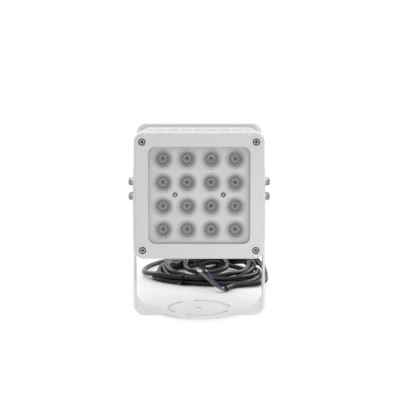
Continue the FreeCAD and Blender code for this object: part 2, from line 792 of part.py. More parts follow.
def arc_slot(centre, normal, start, radius, half_width, angle, depth):
    """A slot along an arc: start is the direction of its middle, and angle its whole turn."""
    first = Rotation(normal, -angle / 2).multVec(start)
    last = Rotation(normal, angle / 2).multVec(start)
    edges = []
    for r, a, b in ((radius + half_width, first, last), (radius - half_width, last, first)):
        edges.append(Part.Arc(centre + a * r, centre + start * r, centre + b * r).toShape())
    for end, side in ((last, 1), (first, -1)):
        tip = Rotation(normal, side * 90).multVec(end)
        middle = centre + end * radius + tip * half_width
        edges.append(Part.Arc(centre + end * (radius + half_width), middle,
                              centre + end * (radius - half_width)).toShape())
    face = Part.Face(Part.Wire(Part.__sortEdges__(edges)))
    return face.extrude(normal * depth)


def bracket():
    """One folded sheet: round base with a strap across it, and two arms that narrow upwards."""
    x = outer_width / 2
    r = bend_radius
    inner = r - sheet
    s = math.sqrt(0.5)
    top = pivot_height + arm_depth / 2

    def p(px, pz):
        return Vector(px, -strap_depth / 2, pz)

    edges = [Part.LineSegment(p(-x, top), p(-x, r)).toShape(),
             Part.Arc(p(-x, r), p(-x + r - r * s, r - r * s), p(-x + r, 0)).toShape(),
             Part.LineSegment(p(-x + r, 0), p(x - r, 0)).toShape(),
             Part.Arc(p(x - r, 0), p(x - r + r * s, r - r * s), p(x, r)).toShape(),
             Part.LineSegment(p(x, r), p(x, top)).toShape(),
             Part.LineSegment(p(x, top), p(x - sheet, top)).toShape(),
             Part.LineSegment(p(x - sheet, top), p(x - sheet, r)).toShape(),
             Part.Arc(p(x - sheet, r), p(x - r + inner * s, r - inner * s), p(x - r, sheet)).toShape(),
             Part.LineSegment(p(x - r, sheet), p(-x + r, sheet)).toShape(),
             Part.Arc(p(-x + r, sheet), p(-x + r - inner * s, r - inner * s), p(-x + sheet, r)).toShape(),
             Part.LineSegment(p(-x + sheet, r), p(-x + sheet, top)).toShape(),
             Part.LineSegment(p(-x + sheet, top), p(-x, top)).toShape()]
    strip = Part.Face(Part.Wire(edges)).extrude(Vector(0, strap_depth, 0))

    a = arm_depth / 2
    b = strap_depth / 2

    def q(py, pz):
        return Vector(-x - 1, py, pz)

    side = [Part.LineSegment(q(-b, -1), q(b, -1)).toShape(),
            Part.LineSegment(q(b, -1), q(b, taper_low)).toShape(),
            Part.LineSegment(q(b, taper_low), q(a, taper_high)).toShape(),
            Part.LineSegment(q(a, taper_high), q(a, pivot_height)).toShape(),
            Part.Arc(q(a, pivot_height), q(0, pivot_height + a), q(-a, pivot_height)).toShape(),
            Part.LineSegment(q(-a, pivot_height), q(-a, taper_high)).toShape(),
            Part.LineSegment(q(-a, taper_high), q(-b, taper_low)).toShape(),
            Part.LineSegment(q(-b, taper_low), q(-b, -1)).toShape()]
    outline = Part.Face(Part.Wire(side)).extrude(Vector(outer_width + 2, 0, 0))
    knees = [e for e in outline.Edges if abs(e.Vertexes[0].X - e.Vertexes[-1].X) > 1
             and min(abs(e.Vertexes[0].Z - taper_low), abs(e.Vertexes[0].Z - taper_high)) < 1e-6]
    outline = outline.makeFillet(12.0, knees)
    strip = strip.common(outline)

    disc = rod(Vector(0, 0, 0), Vector(0, 0, 1), base_radius, sheet)
    sheet_metal = strip.fuse(disc).removeSplitter()
    reach = math.sqrt(base_radius ** 2 - b ** 2)
    notches = [e for e in sheet_metal.Edges if len(e.Vertexes) == 2 and abs(e.Length - sheet) < 1e-3
               and abs(abs(e.CenterOfMass.x) - reach) < 0.1 and abs(abs(e.CenterOfMass.y) - b) < 0.1]
    sheet_metal = sheet_metal.makeFillet(base_blend, notches)

    sheet_metal = sheet_metal.cut(rod(Vector(0, 0, -1), Vector(0, 0, 1), centre_hole_radius, sheet + 2))
    for i in range(floor_slot_count):
        angle = floor_slot_turn + i * 360.0 / floor_slot_count
        start = Rotation(Vector(0, 0, 1), angle).multVec(Vector(1, 0, 0))
        slot = arc_slot(Vector(0, 0, -1), Vector(0, 0, 1), start, floor_slot_radius, floor_slot_width / 2,
                        floor_slot_angle - math.degrees(floor_slot_width / floor_slot_radius), sheet + 2)
        sheet_metal = sheet_metal.cut(slot)

    sweep = tilt_up + tilt_down + 2 * slot_spare_angle
    middle = Rotation(Vector(1, 0, 0), (tilt_down - tilt_up) / 2).multVec(Vector(0, 0, -1))
    for side_x in (-x - 1, x - sheet - 1):
        pivot = Vector(side_x, 0, pivot_height)
        sheet_metal = sheet_metal.cut(rod(pivot, Vector(1, 0, 0), bolt_radius + pivot_fit, sheet + 2))
        sheet_metal = sheet_metal.cut(arc_slot(pivot, Vector(1, 0, 0), middle, lock_reach,
                                               bolt_radius + slot_fit, sweep, sheet + 2))
    return sheet_metal


def friction_pads():
    pads = []
    for side in (-1, 1):
        pad = side_pad(side, pad_face, inner_width / 2, side_pad_radius)
        for z in bolt_heights():
            pad = pad.cut(rod(Vector(side * (pad_face - 1), 0, z), Vector(side, 0, 0), bolt_radius + screw_fit, 4))
        pads.append(pad)
    return pads


def bolt_stack(z):
    """Bolts of one height on both sides, each with its plain and spring washer."""
    bolts = []
    plains = []
    springs = []
    for side in (-1, 1):
        out = Vector(side, 0, 0)
        arm = Vector(side * outer_width / 2, 0, z)
        plain = rod(arm, out, washer_radius, washer_thickness)
        plains.append(plain.cut(rod(arm, out, bolt_radius + screw_fit, washer_thickness)))
        seat = arm + out * washer_thickness
        ring = rod(seat, out, spring_washer_radius, spring_washer_thickness)
        ring = ring.cut(rod(seat, out, bolt_radius + screw_fit, spring_washer_thickness))
        split = Part.makeBox(spring_washer_thickness + 2, spring_washer_split, spring_washer_radius + 1,
                             Vector(seat.x - 1 if side > 0 else seat.x - spring_washer_thickness - 1,
                                    -spring_washer_split / 2, z))
        springs.append(ring.cut(split))
        under = seat + out * spring_washer_thickness
        head = turned([(0, 0), (bolt_head_radius, 0), (bolt_head_radius, bolt_head_height * 0.35),
                       (bolt_head_radius * 0.62, bolt_head_height, -0.45), (0, bolt_head_height)], under, out)
        head = head.cut(hexagon(bolt_socket, under + out * bolt_head_height, out * -1, socket_depth))
        shank = under.x * side - pad_face + bolt_bite - 1
        bolts.append(head.fuse(rod(under, out * -1, bolt_radius, shank)).removeSplitter())
    return bolts, plains, springs


def ellipse_block(centre, long, short, turn, height):
    """An upright block whose outline is an ellipse; turn is that of its long side from +Y."""
    curve = Part.Ellipse(Vector(0, 0, 0), max(long, short), min(long, short))
    block = Part.Face(Part.Wire([curve.toShape()])).extrude(Vector(0, 0, height))
    first = 90 if long >= short else 0
    block.Placement = FreeCAD.Placement(centre, Rotation(Vector(0, 0, 1), first + turn))
    return block


def cable_coil():
    """The closed outer shape of the coil: a low ring, open where the lead comes down into it."""
    ring = ellipse_block(coil_centre, coil_half_depth, coil_half_width, 0, coil_height)
    ring = ring.cut(ellipse_block(coil_hole_centre, coil_hole_long, coil_hole_short, coil_hole_turn, coil_height))
    return ring.cut(tie_block(tie_gap))


def tie_front():
    """How far forward the coil's outer wall lies at the tie."""
    share = (tie_x - coil_centre.x) / coil_half_width
    return coil_centre.y - coil_half_depth * math.sqrt(1 - share ** 2)


def tie_block(gap):
    """The band of the tie round the front of the coil; a gap widens it into its groove."""
    low = Vector(tie_x - tie_band / 2 - gap, tie_front() - tie_thickness - gap, -gap)
    wall = tie_thickness + 2 * gap
    outer = Part.makeBox(tie_band + 2 * gap, tie_reach + 2 * tie_thickness + 2 * gap, coil_height + 2 * gap, low)
    inner = Part.makeBox(tie_band + 2 * gap, tie_reach - 2 * gap, coil_height - 2 * tie_thickness - 2 * gap,
                         low + Vector(0, wall, wall))
    return outer.cut(inner)


def cable_tie():
    """Flat band with its two ends twisted together in front, low down."""
    twist = rod(Vector(tie_x, tie_front() - tie_thickness / 2, 2.0), Vector(0.35, -0.9, 0).normalize(), 1.2, 6.0)
    return tie_block(0).fuse(twist).removeSplitter()


def cord_points():
    """Routes of the cable's two open stretches and of its four cores, laid by hand."""
    lead = [Vector(0, gland_mouth, gland_z), Vector(0, gland_mouth + 18, gland_z),
            Vector(-3, gland_mouth + 38, gland_z - 12), Vector(-7, gland_mouth + 58, gland_z - 36),
            Vector(-9, 142, 32), Vector(-6, 160, 12.5), Vector(2, 177, 5), Vector(12, 195, cable_radius),
            Vector(20, 215, cable_radius), Vector(26, 234, 4), Vector(34, 250, 7)]
    tail = [Vector(58, 158, 7), Vector(68, 145, 5), Vector(75.5, 129, cable_radius),
            Vector(70, 112.5, cable_radius), Vector(57, 104.8, cable_radius), Vector(46, 101.6, cable_radius),
            Vector(38, 95.5, cable_radius), Vector(32.5, 84, cable_radius)]
    core = [Vector(32.5, 84, 2.9), Vector(30.6, 79.4, 3), Vector(23.8, 76, 4.2), Vector(17.6, 80.6, 6.9),
            Vector(13.6, 90.5, 10.2), Vector(9.5, 100.5, 14), Vector(4.5, 110, 16.6), Vector(0.5, 119, 16)]
    across = [Vector(0.92, -0.39, 0), Vector(0.7, -0.72, 0), Vector(-0.05, -1, 0), Vector(-0.72, -0.7, 0),
              Vector(-0.88, -0.48, 0), Vector(-0.9, -0.44, 0), Vector(-0.95, -0.3, 0), Vector(-0.95, 0.3, 0)]
    spread = [1.38, 1.5, 1.6, 1.65, 1.75, 1.95, 2.2, 2.6]
    wires = {}
    for i, name in enumerate(("wire_purple", "wire_blue", "wire_green", "wire_yellow")):
        wires[name] = [p + a * (i - 1.5) * w for p, a, w in zip(core, across, spread)]
    return lead, tail, wires


def main():
    os.makedirs("parts", exist_ok=True)
    save(front_bezel(), "front_bezel")
    save(Part.makeCompound(bezel_screws()), "bezel_screws")
    save(window_gasket(), "window_gasket")
    save(window_glass(), "window_glass")
    save(lens_plate(), "lens_plate")
    save(Part.makeCompound(lens_plate_screws()), "lens_plate_screws")
    save(Part.makeCompound(plate_spacers()), "plate_spacers")
    holders = []
    emitters = []
    for row, column, x, z in lens_places():
        save(lens(x, z), "lens_%d_%d" % (row, column))
        holders.append(lens_holder(x, z))
        emitters.append(emitter(x, z))
    save(Part.makeCompound(holders), "lens_holders")
    save(Part.makeCompound(emitters), "led_emitters")
    save(led_board(), "led_board")
    save(gasket_ring(0), "front_gasket")
    save(housing(), "housing")
    save(rear_gasket(), "rear_gasket")
    save(rear_cover(), "rear_cover")
    save(Part.makeCompound(rear_screws()), "rear_screws")
    for node, shape in gland().items():
        save(shape, node)
    save(cable_entry(), "cable_entry")
    save(Part.makeCompound(board_standoffs()), "board_standoffs")
    save(driver_board(), "driver_board")
    save(Part.makeCompound(board_screws()), "board_screws")
    for node, shape in driver_parts().items():
        save(shape, node)
    for node, shape in inner_leads().items():
        save(shape, node)
    save(bracket(), "bracket")
    save(Part.makeCompound(friction_pads()), "friction_pads")
    pivot_bolts, high_plains, high_springs = bolt_stack(pivot_height)
    lock_bolts, low_plains, low_springs = bolt_stack(pivot_height - lock_reach)
    save(Part.makeCompound(pivot_bolts), "pivot_bolts")
    save(Part.makeCompound(lock_bolts), "lock_bolts")
    save(Part.makeCompound(high_plains + low_plains), "plain_washers")
    save(Part.makeCompound(high_springs + low_springs), "spring_washers")
    lead, tail, wires = cord_points()
    save(cable_coil(), "cable_coil")
    save(cable_tie(), "cable_tie")
    save(tube(lead, cable_radius, "cable lead"), "cable_lead")
    save(tube(tail, cable_radius, "cable tail"), "cable_tail")
    for node, points in wires.items():
        save(tube(points, wire_radius, node), node)


main()
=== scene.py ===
import json
import math

import bmesh
import bpy
import numpy as np
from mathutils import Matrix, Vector


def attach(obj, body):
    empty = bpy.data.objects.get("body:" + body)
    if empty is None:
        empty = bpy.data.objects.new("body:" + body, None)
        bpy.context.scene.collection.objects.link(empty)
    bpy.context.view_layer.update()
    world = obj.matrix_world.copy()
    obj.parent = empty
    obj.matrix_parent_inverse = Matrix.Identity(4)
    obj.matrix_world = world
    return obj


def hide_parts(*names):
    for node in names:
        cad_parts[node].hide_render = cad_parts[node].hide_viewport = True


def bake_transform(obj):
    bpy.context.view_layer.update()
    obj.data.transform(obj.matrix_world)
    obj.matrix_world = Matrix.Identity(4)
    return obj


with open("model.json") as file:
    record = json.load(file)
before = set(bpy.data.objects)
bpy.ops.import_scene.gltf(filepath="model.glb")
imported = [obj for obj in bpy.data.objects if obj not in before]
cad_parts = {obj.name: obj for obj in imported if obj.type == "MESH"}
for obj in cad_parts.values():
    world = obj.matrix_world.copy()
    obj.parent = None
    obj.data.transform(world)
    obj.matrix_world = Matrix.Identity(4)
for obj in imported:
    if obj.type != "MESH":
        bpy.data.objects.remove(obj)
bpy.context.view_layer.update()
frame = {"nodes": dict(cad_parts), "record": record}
nodes = frame["nodes"]

# Everything is in metres, in the part's own frame: +Z up, the window towards -Y, and the origin
# at the centre of the base's centre hole.

cameraSet = {
    "place": (0.0009, -1.7527, 0.4333),
    "pitch": 79.9,  # degrees up from straight down
    "lens": 148.5,  # millimetres
    "sensor": 36,
    "far": 100,
}


def addObject(name, data):
    piece = bpy.data.objects.new(name, data)
    bpy.context.scene.collection.objects.link(piece)
    return piece


def makeCamera():
    data = bpy.data.cameras.new("camera")
    data.lens = cameraSet["lens"]
    data.sensor_width = cameraSet["sensor"]
    data.clip_end = cameraSet["far"]
    camera = addObject("camera", data)
    camera.location = cameraSet["place"]
    camera.rotation_euler = (math.radians(cameraSet["pitch"]), 0, 0)
    bpy.context.scene.camera = camera


makeCamera()

# Shader node helpers

noiseLow = 0.3  # a noise value hardly leaves the span from low to high
noiseHigh = 0.7


def addNode(tree, kind, **inputs):
    node = tree.nodes.new("ShaderNode" + kind)
    for key, value in inputs.items():
        if key in node.inputs:
            node.inputs[key].default_value = value
        else:
            setattr(node, key, value)
    return node


def join(tree, source, output, target, entry):
    tree.links.new(source.outputs[output], target.inputs[entry])


def newGroup(name, inputs, outputs):
    tree = bpy.data.node_groups.new(name, "ShaderNodeTree")
    for key, kind, value in inputs:
        socket = tree.interface.new_socket(name=key, in_out="INPUT", socket_type=kind)
        socket.default_value = value
    for key, kind in outputs:
        tree.interface.new_socket(name=key, in_out="OUTPUT", socket_type=kind)
    start = tree.nodes.new("NodeGroupInput")
    end = tree.nodes.new("NodeGroupOutput")
    return tree, start, end


def makeMottleGroup():
    # A slow drift and a fine grain, mixed into one value about a half
    tree, start, end = newGroup(
        "mottle",
        [("Scale", "NodeSocketFloat", 60.0), ("Grain", "NodeSocketFloat", 900.0),
         ("Share", "NodeSocketFloat", 0.4)],
        [("Value", "NodeSocketFloat")])
    place = addNode(tree, "TexCoord")
    slow = addNode(tree, "TexNoise", Detail=3.0, Roughness=0.5)
    fine = addNode(tree, "TexNoise", Detail=2.0, Roughness=0.6)
    blend = addNode(tree, "Mix", data_type="FLOAT")
    join(tree, place, "Object", slow, "Vector")
    join(tree, place, "Object", fine, "Vector")
    join(tree, start, "Scale", slow, "Scale")
    join(tree, start, "Grain", fine, "Scale")
    join(tree, start, "Share", blend, 0)
    join(tree, slow, "Fac", blend, 2)
    join(tree, fine, "Fac", blend, 3)
    join(tree, blend, 0, end, "Value")
    return tree


def makeStreakGroup():
    # Fine lines along one axis, as brushing, drawing or extruding leaves them
    tree, start, end = newGroup(
        "streaks",
        [("Stretch", "NodeSocketVector", (60.0, 1500.0, 1500.0))],
        [("Value", "NodeSocketFloat")])
    place = addNode(tree, "TexCoord")
    scaled = addNode(tree, "VectorMath", operation="MULTIPLY")
    noise = addNode(tree, "TexNoise", Scale=1.0, Detail=4.0, Roughness=0.6)
    join(tree, place, "Object", scaled, 0)
    join(tree, start, "Stretch", scaled, 1)
    join(tree, scaled, 0, noise, "Vector")
    join(tree, noise, "Fac", end, "Value")
    return tree


mottleGroup = makeMottleGroup()
streakGroup = makeStreakGroup()


def newMaterial(name):
    material = bpy.data.materials.new(name)
    material.use_nodes = True
    tree = material.node_tree
    tree.nodes.clear()
    return material, tree, addNode(tree, "OutputMaterial")


def addGroup(tree, group, **inputs):
    node = tree.nodes.new("ShaderNodeGroup")
    node.node_tree = group
    for key, value in inputs.items():
        node.inputs[key].default_value = value
    return node


def addRamp(tree, shades):
    # A colour ramp with one stop for each pair of place and colour
    ramp = addNode(tree, "ValToRGB")
    stops = ramp.color_ramp.elements
    while len(stops) < len(shades):
        stops.new(0.5)
    for stop, (place, colour) in zip(stops, shades):
        stop.position = place
        stop.color = (*colour, 1)
    return ramp


def addTint(tree, colour, colourOutput, factor, factorOutput, shader):
    # One colour times another, as the shader's base colour
    tint = addNode(tree, "Mix", data_type="RGBA", blend_type="MULTIPLY")
    tint.inputs[0].default_value = 1.0
    join(tree, colour, colourOutput, tint, 6)
    join(tree, factor, factorOutput, tint, 7)
    join(tree, tint, 2, shader, "Base Color")


def finishMaterial(name, dark, light, rough, bump=0.02, depth=0.0001, scale=60.0, grain=900.0,
                   share=0.4, metallic=0.0, coat=0.0, coatRough=0.2, streaks=None, specular=0.5):
    # An opaque finish that drifts between two colours and two roughnesses
    material, tree, output = newMaterial(name)
    shader = addNode(tree, "BsdfPrincipled", Metallic=metallic)
    shader.inputs["Coat Weight"].default_value = coat
    shader.inputs["Coat Roughness"].default_value = coatRough
    shader.inputs["Specular IOR Level"].default_value = specular
    if streaks:
        source = addGroup(tree, streakGroup, Stretch=streaks)
    else:
        source = addGroup(tree, mottleGroup, Scale=scale, Grain=grain, Share=share)
    ramp = addRamp(tree, [(noiseLow, dark), (noiseHigh, light)])
    gloss = addNode(tree, "MapRange")
    gloss.inputs["From Min"].default_value = noiseLow
    gloss.inputs["From Max"].default_value = noiseHigh
    gloss.inputs["To Min"].default_value = rough[0]
    gloss.inputs["To Max"].default_value = rough[1]
    raised = addNode(tree, "Bump", Strength=bump, Distance=depth)
    join(tree, source, "Value", ramp, "Fac")
    join(tree, ramp, "Color", shader, "Base Color")
    join(tree, source, "Value", gloss, "Value")
    join(tree, gloss, "Result", shader, "Roughness")
    join(tree, source, "Value", raised, "Height")
    join(tree, raised, "Normal", shader, "Normal")
    join(tree, shader, "BSDF", output, "Surface")
    return material


clearSet = {
    "scale": 40.0,
    "grain": 400.0,
    "drift": 0.985,  # the darker tint as a share of the lighter
    "window": dict(tint=(0.985, 0.99, 0.99), rough=(0.0, 0.03), ior=1.5, veil=0.98),
    "lens": dict(tint=(0.98, 0.983, 0.987), rough=(0.0, 0.05), ior=1.49, veil=0.97),
}


def clearMaterial(name, tint, rough, ior, veil):
    # Clear plastic or glass: shadow rays pass, so that the lamps light what lies behind it
    material, tree, output = newMaterial(name)
    shader = addNode(tree, "BsdfPrincipled", Metallic=0.0, IOR=ior)
    shader.inputs["Transmission Weight"].default_value = 1.0
    source = addGroup(tree, mottleGroup, Scale=clearSet["scale"], Grain=clearSet["grain"])
    darker = [c * clearSet["drift"] for c in tint]
    ramp = addRamp(tree, [(noiseLow, darker), (noiseHigh, tint)])
    gloss = addNode(tree, "MapRange")
    gloss.inputs["To Min"].default_value = rough[0]
    gloss.inputs["To Max"].default_value = rough[1]
    rays = addNode(tree, "LightPath")
    through = addNode(tree, "BsdfTransparent", Color=(veil, veil, veil, 1))
    choose = addNode(tree, "MixShader")
    join(tree, source, "Value", ramp, "Fac")
    join(tree, ramp, "Color", shader, "Base Color")
    join(tree, source, "Value", gloss, "Value")
    join(tree, gloss, "Result", shader, "Roughness")
    join(tree, rays, "Is Shadow Ray", choose, 0)
    join(tree, shader, "BSDF", choose, 1)
    join(tree, through, "BSDF", choose, 2)
    join(tree, choose, "Shader", output, "Surface")
    return material


ringSet = {
    "scale": 150.0,
    "drift": (0.88, 1.12),
    "coatRough": 0.12,
    "fullRadius": 0.011,  # the ring attribute is 1 here
}


def ringMaterial(name, shades, rough, coat):
    # Paints light and shade by the ring attribute that the turned meshes carry, with a fine
    # mottle: the lens bowls' painted reflections and the painted shadow round the cups
    material, tree, output = newMaterial(name)
    shader = addNode(tree, "BsdfPrincipled", Roughness=rough)
    shader.inputs["Coat Weight"].default_value = coat
    shader.inputs["Coat Roughness"].default_value = ringSet["coatRough"]
    share = addNode(tree, "Attribute", attribute_name="ring")
    ramp = addRamp(tree, shades)
    source = addGroup(tree, mottleGroup, Scale=ringSet["scale"])
    vary = addNode(tree, "MapRange")
    vary.inputs["To Min"].default_value = ringSet["drift"][0]
    vary.inputs["To Max"].default_value = ringSet["drift"][1]
    join(tree, share, "Fac", ramp, "Fac")
    join(tree, source, "Value", vary, "Value")
    addTint(tree, ramp, "Color", vary, "Result", shader)
    join(tree, shader, "BSDF", output, "Surface")
    return material


def headMaterial(name, base, axes, shades):
    # A screw head whose painted light and shade follow the distance from the nearest screw axis.
    # The axes lie at halfX and halfZ to either side of the plate's middle.
    halfX, centreZ, halfZ = axes
    material = finishMaterial(name, **base)
    tree = material.node_tree
    shader = [n for n in tree.nodes if n.type == "BSDF_PRINCIPLED"][0]
    finish = shader.inputs["Base Color"].links[0].from_node
    coords = addNode(tree, "TexCoord")
    shifted = addNode(tree, "VectorMath", operation="SUBTRACT")
    shifted.inputs[1].default_value = (0, 0, centreZ)
    folded = addNode(tree, "VectorMath", operation="ABSOLUTE")
    flat = addNode(tree, "VectorMath", operation="MULTIPLY")
    flat.inputs[1].default_value = (1, 0, 1)
    radius = addNode(tree, "VectorMath", operation="DISTANCE")
    radius.inputs[1].default_value = (halfX, 0, halfZ)
    share = addNode(tree, "Math", operation="MULTIPLY")
    share.inputs[1].default_value = 1000 / screwSet["reach"]
    ramp = addRamp(tree, [(mm / screwSet["reach"], (shade,) * 3) for mm, shade in shades])
    join(tree, coords, "Object", shifted, 0)
    join(tree, shifted, 0, folded, 0)
    join(tree, folded, 0, flat, 0)
    join(tree, flat, 0, radius, 0)
    join(tree, radius, "Value", share, 0)
    join(tree, share, 0, ramp, "Fac")
    addTint(tree, finish, "Color", ramp, "Color", shader)
    return material


# Screw axes as half span across, height of the middle and half span up, in metres, and the
# painted light and shade of the heads by the distance from the axis in millimetres: the dark
# sockets and the dark rings round the edges of the bezel and rear heads are painted shade, and
# the plate screws' bright middle inside a dark ring is a painted highlight

screwSet = {
    "reach": 5.0,
    "bezel": (0.0598, 0.1331, 0.0578),
    "bezelPaintedLight": [(0.0, 0.10), (1.15, 0.12), (1.5, 0.8), (2.55, 1.0), (2.9, 0.10),
                    (5.0, 0.10)],
    "rear": (0.057, 0.1331, 0.0555),
    "rearPaintedLight": [(0.0, 0.10), (1.4, 0.12), (1.6, 0.85), (3.0, 1.0), (3.4, 0.6),
                   (5.0, 0.3)],
    "plate": (0.0254, 0.1339, 0.0),
    "platePaintedLight": [(0.0, 1.6), (0.75, 1.6), (1.15, 0.12), (5.0, 0.12)],
}

# Shades of the lens bowls and of the cups round them, from the middle to the rim. The bowls'
# rings are painted reflections: the clear lens mirrors the dark emitter in its walls as dark
# rings, and the light round it as lighter ones. The cups are white, with a painted shadow in the
# gap round each one.

bowlPaintedReflections = [
    (0.0, (0.005, 0.006, 0.016)), (0.15, (0.01, 0.012, 0.03)), (0.235, (0.35, 0.36, 0.39)),
    (0.35, (0.43, 0.44, 0.465)), (0.414, (0.185, 0.192, 0.21)), (0.5, (0.23, 0.237, 0.255)),
    (0.643, (0.48, 0.487, 0.505)), (0.786, (0.70, 0.705, 0.72)), (0.845, (0.75, 0.753, 0.762))]
# White cups; the dark band from 0.958 outwards is a painted shadow in the gap between each cup's
# rim and the plate
rimToneAndPaintedShadow = [
    (0.0, (0.7, 0.702, 0.706)), (0.87, (0.84, 0.842, 0.846)), (0.953, (0.84, 0.842, 0.846)),
    (0.958, (0.14, 0.142, 0.146)), (1.0, (0.14, 0.142, 0.146))]

materialSet = {
    "painted_head": dict(
        dark=(0.675, 0.68, 0.68), light=(0.715, 0.72, 0.72), rough=(0.36, 0.46), bump=0.12,
        depth=0.00006, scale=22.0, grain=1400.0, share=0.75, coat=0.05),
    # The bracket's paint is lighter than the head's though it is the same paint: painted light
    # on the base, which lies under the head
    "painted_bracket": dict(
        dark=(0.88, 0.882, 0.882), light=(0.91, 0.912, 0.912), rough=(0.34, 0.44), bump=0.12,
        depth=0.00006, scale=22.0, grain=1400.0, share=0.75, coat=0.05),
    "screw_steel": dict(
        dark=(0.13, 0.13, 0.132), light=(0.26, 0.26, 0.262), rough=(0.28, 0.42), metallic=1.0,
        bump=0.15, depth=0.00003, scale=300.0, grain=2500.0, share=0.5),
    "screw_light": dict(
        dark=(0.42, 0.42, 0.42), light=(0.60, 0.60, 0.60), rough=(0.35, 0.48), metallic=0.7,
        bump=0.15, depth=0.00003, scale=300.0, grain=2500.0, share=0.5, specular=0.3),
    "seal_grey": dict(
        dark=(0.62, 0.62, 0.62), light=(0.68, 0.68, 0.68), rough=(0.5, 0.6), scale=90.0),
    # The rear cover's paint, lighter than the head's: painted light on the cover's rim, which
    # faces the camera
    "lit_cover_paint": dict(
        dark=(0.83, 0.832, 0.832), light=(0.86, 0.862, 0.862), rough=(0.36, 0.46), bump=0.12,
        depth=0.00006, scale=22.0, grain=1400.0, share=0.75, coat=0.05),
    "bolt_black": dict(
        dark=(0.20, 0.195, 0.19), light=(0.40, 0.39, 0.385), rough=(0.22, 0.34), metallic=0.95,
        bump=0.12, depth=0.00003, scale=260.0, grain=2200.0, share=0.5),
    "washer_steel": dict(
        dark=(0.40, 0.40, 0.41), light=(0.56, 0.56, 0.57), rough=(0.25, 0.38), metallic=1.0,
        bump=0.12, depth=0.00003, streaks=(400.0, 1800.0, 1800.0)),
    "brass": dict(
        dark=(0.55, 0.38, 0.15), light=(0.68, 0.5, 0.22), rough=(0.25, 0.36), metallic=1.0,
        streaks=(300.0, 1500.0, 1500.0)),
    "seal_rubber": dict(
        dark=(0.02, 0.02, 0.021), light=(0.032, 0.032, 0.034), rough=(0.6, 0.75), bump=0.2,
        depth=0.00008, scale=80.0, grain=1200.0),
    "pad_plastic": dict(
        dark=(0.50, 0.505, 0.51), light=(0.56, 0.565, 0.57), rough=(0.45, 0.55), scale=90.0),
    "white_plastic": dict(
        dark=(0.77, 0.772, 0.776), light=(0.81, 0.812, 0.816), rough=(0.42, 0.52), bump=0.06,
        depth=0.00005, scale=50.0, grain=1500.0, share=0.6),
    "emitter_dark": dict(
        dark=(0.40, 0.41, 0.42), light=(0.46, 0.47, 0.48), rough=(0.3, 0.4), scale=200.0),
    "board_white": dict(
        dark=(0.55, 0.555, 0.55), light=(0.62, 0.625, 0.62), rough=(0.3, 0.42), scale=70.0),
    "board_green": dict(
        dark=(0.015, 0.10, 0.035), light=(0.03, 0.16, 0.06), rough=(0.3, 0.42), scale=120.0),
    "coil_black": dict(
        dark=(0.02, 0.02, 0.021), light=(0.05, 0.05, 0.052), rough=(0.5, 0.65), scale=200.0),
    "capacitor_metal": dict(
        dark=(0.40, 0.40, 0.43), light=(0.55, 0.55, 0.58), rough=(0.3, 0.4), metallic=0.9,
        streaks=(1500.0, 300.0, 1500.0)),
    "terminal_green": dict(
        dark=(0.03, 0.20, 0.07), light=(0.05, 0.28, 0.10), rough=(0.4, 0.5), scale=150.0),
    "lead_red": dict(
        dark=(0.35, 0.02, 0.015), light=(0.45, 0.03, 0.025), rough=(0.3, 0.4), scale=300.0),
    "gland_black": dict(
        dark=(0.02, 0.02, 0.021), light=(0.035, 0.035, 0.036), rough=(0.38, 0.5), bump=0.15,
        depth=0.00006, scale=120.0, grain=1800.0, share=0.6),
    "cable_jacket": dict(
        dark=(0.004, 0.004, 0.0042), light=(0.009, 0.009, 0.0092), rough=(0.20, 0.28), bump=0.12,
        depth=0.00008, scale=40.0, grain=700.0, share=0.5, coat=0.15, coatRough=0.12,
        specular=0.22),
    "tie_black": dict(
        dark=(0.003, 0.003, 0.0032), light=(0.007, 0.007, 0.0072), rough=(0.4, 0.5), bump=0.2,
        depth=0.00008, scale=250.0, grain=1500.0, specular=0.08),
    "wire_blue": dict(
        dark=(0.002, 0.014, 0.22), light=(0.004, 0.024, 0.34), rough=(0.28, 0.38), scale=200.0,
        specular=0.2),
    "wire_green": dict(
        dark=(0.002, 0.11, 0.11), light=(0.004, 0.18, 0.16), rough=(0.28, 0.38), scale=200.0,
        specular=0.2),
    "wire_yellow": dict(
        dark=(0.10, 0.10, 0.012), light=(0.20, 0.20, 0.03), rough=(0.28, 0.38), scale=200.0,
        specular=0.2),
    "wire_purple": dict(
        dark=(0.07, 0.02, 0.13), light=(0.12, 0.035, 0.20), rough=(0.28, 0.38), scale=200.0,
        specular=0.2),
    "chip_blue": dict(
        dark=(0.005, 0.006, 0.014), light=(0.012, 0.014, 0.028), rough=(0.4, 0.5), scale=400.0,
        specular=0.15),
    "tinned_copper": dict(
        dark=(0.62, 0.60, 0.56), light=(0.82, 0.81, 0.78), rough=(0.2, 0.35), metallic=0.9,
        scale=900.0, grain=3000.0, bump=0.3),
}

materials = {name: finishMaterial(name, **values) for name, values in materialSet.items()}
materials["window_glass"] = clearMaterial("window_glass", **clearSet["window"])
materials["lens_clear"] = clearMaterial("lens_clear", **clearSet["lens"])
# Screw heads with painted shade in their sockets and round their edges, and a painted highlight
# on the plate screws
for place in ("bezel", "rear", "plate"):
    name = place + "_screws"
    materials[name] = headMaterial(name, materialSet["screw_light"], screwSet[place],
                                   screwSet[place + "PaintedLight"])
# The lens bowls carry painted reflections of the clear lenses
materials["lens_bowl"] = ringMaterial("lens_bowl", bowlPaintedReflections, rough=0.3, coat=0.2)
# The cups carry a painted shadow round their rims
materials["lens_rim"] = ringMaterial("lens_rim", rimToneAndPaintedShadow, rough=0.4, coat=0.0)
print("materials made:", len(materials))


def dressNode(node, material):
    data = nodes[node].data
    if not data.materials:
        data.materials.append(material)
    for i in range(len(data.materials)):
        data.materials[i] = material


for part in frame["record"]["subparts"]:
    dressNode(part["node"], materials[part["material_slot"]])
dressNode("bezel_screws", materials["bezel_screws"])
dressNode("lens_plate_screws", materials["plate_screws"])
dressNode("rear_screws", materials["rear_screws"])
# The rear cover gets the lighter paint, as painted light
dressNode("rear_cover", materials["lit_cover_paint"])
dressNode("rear_gasket", materials["seal_grey"])

# The cable: a lead out of the gland, the loose turns with a small ring among the last, and the
# tail with its bare end. Its points are in millimetres.

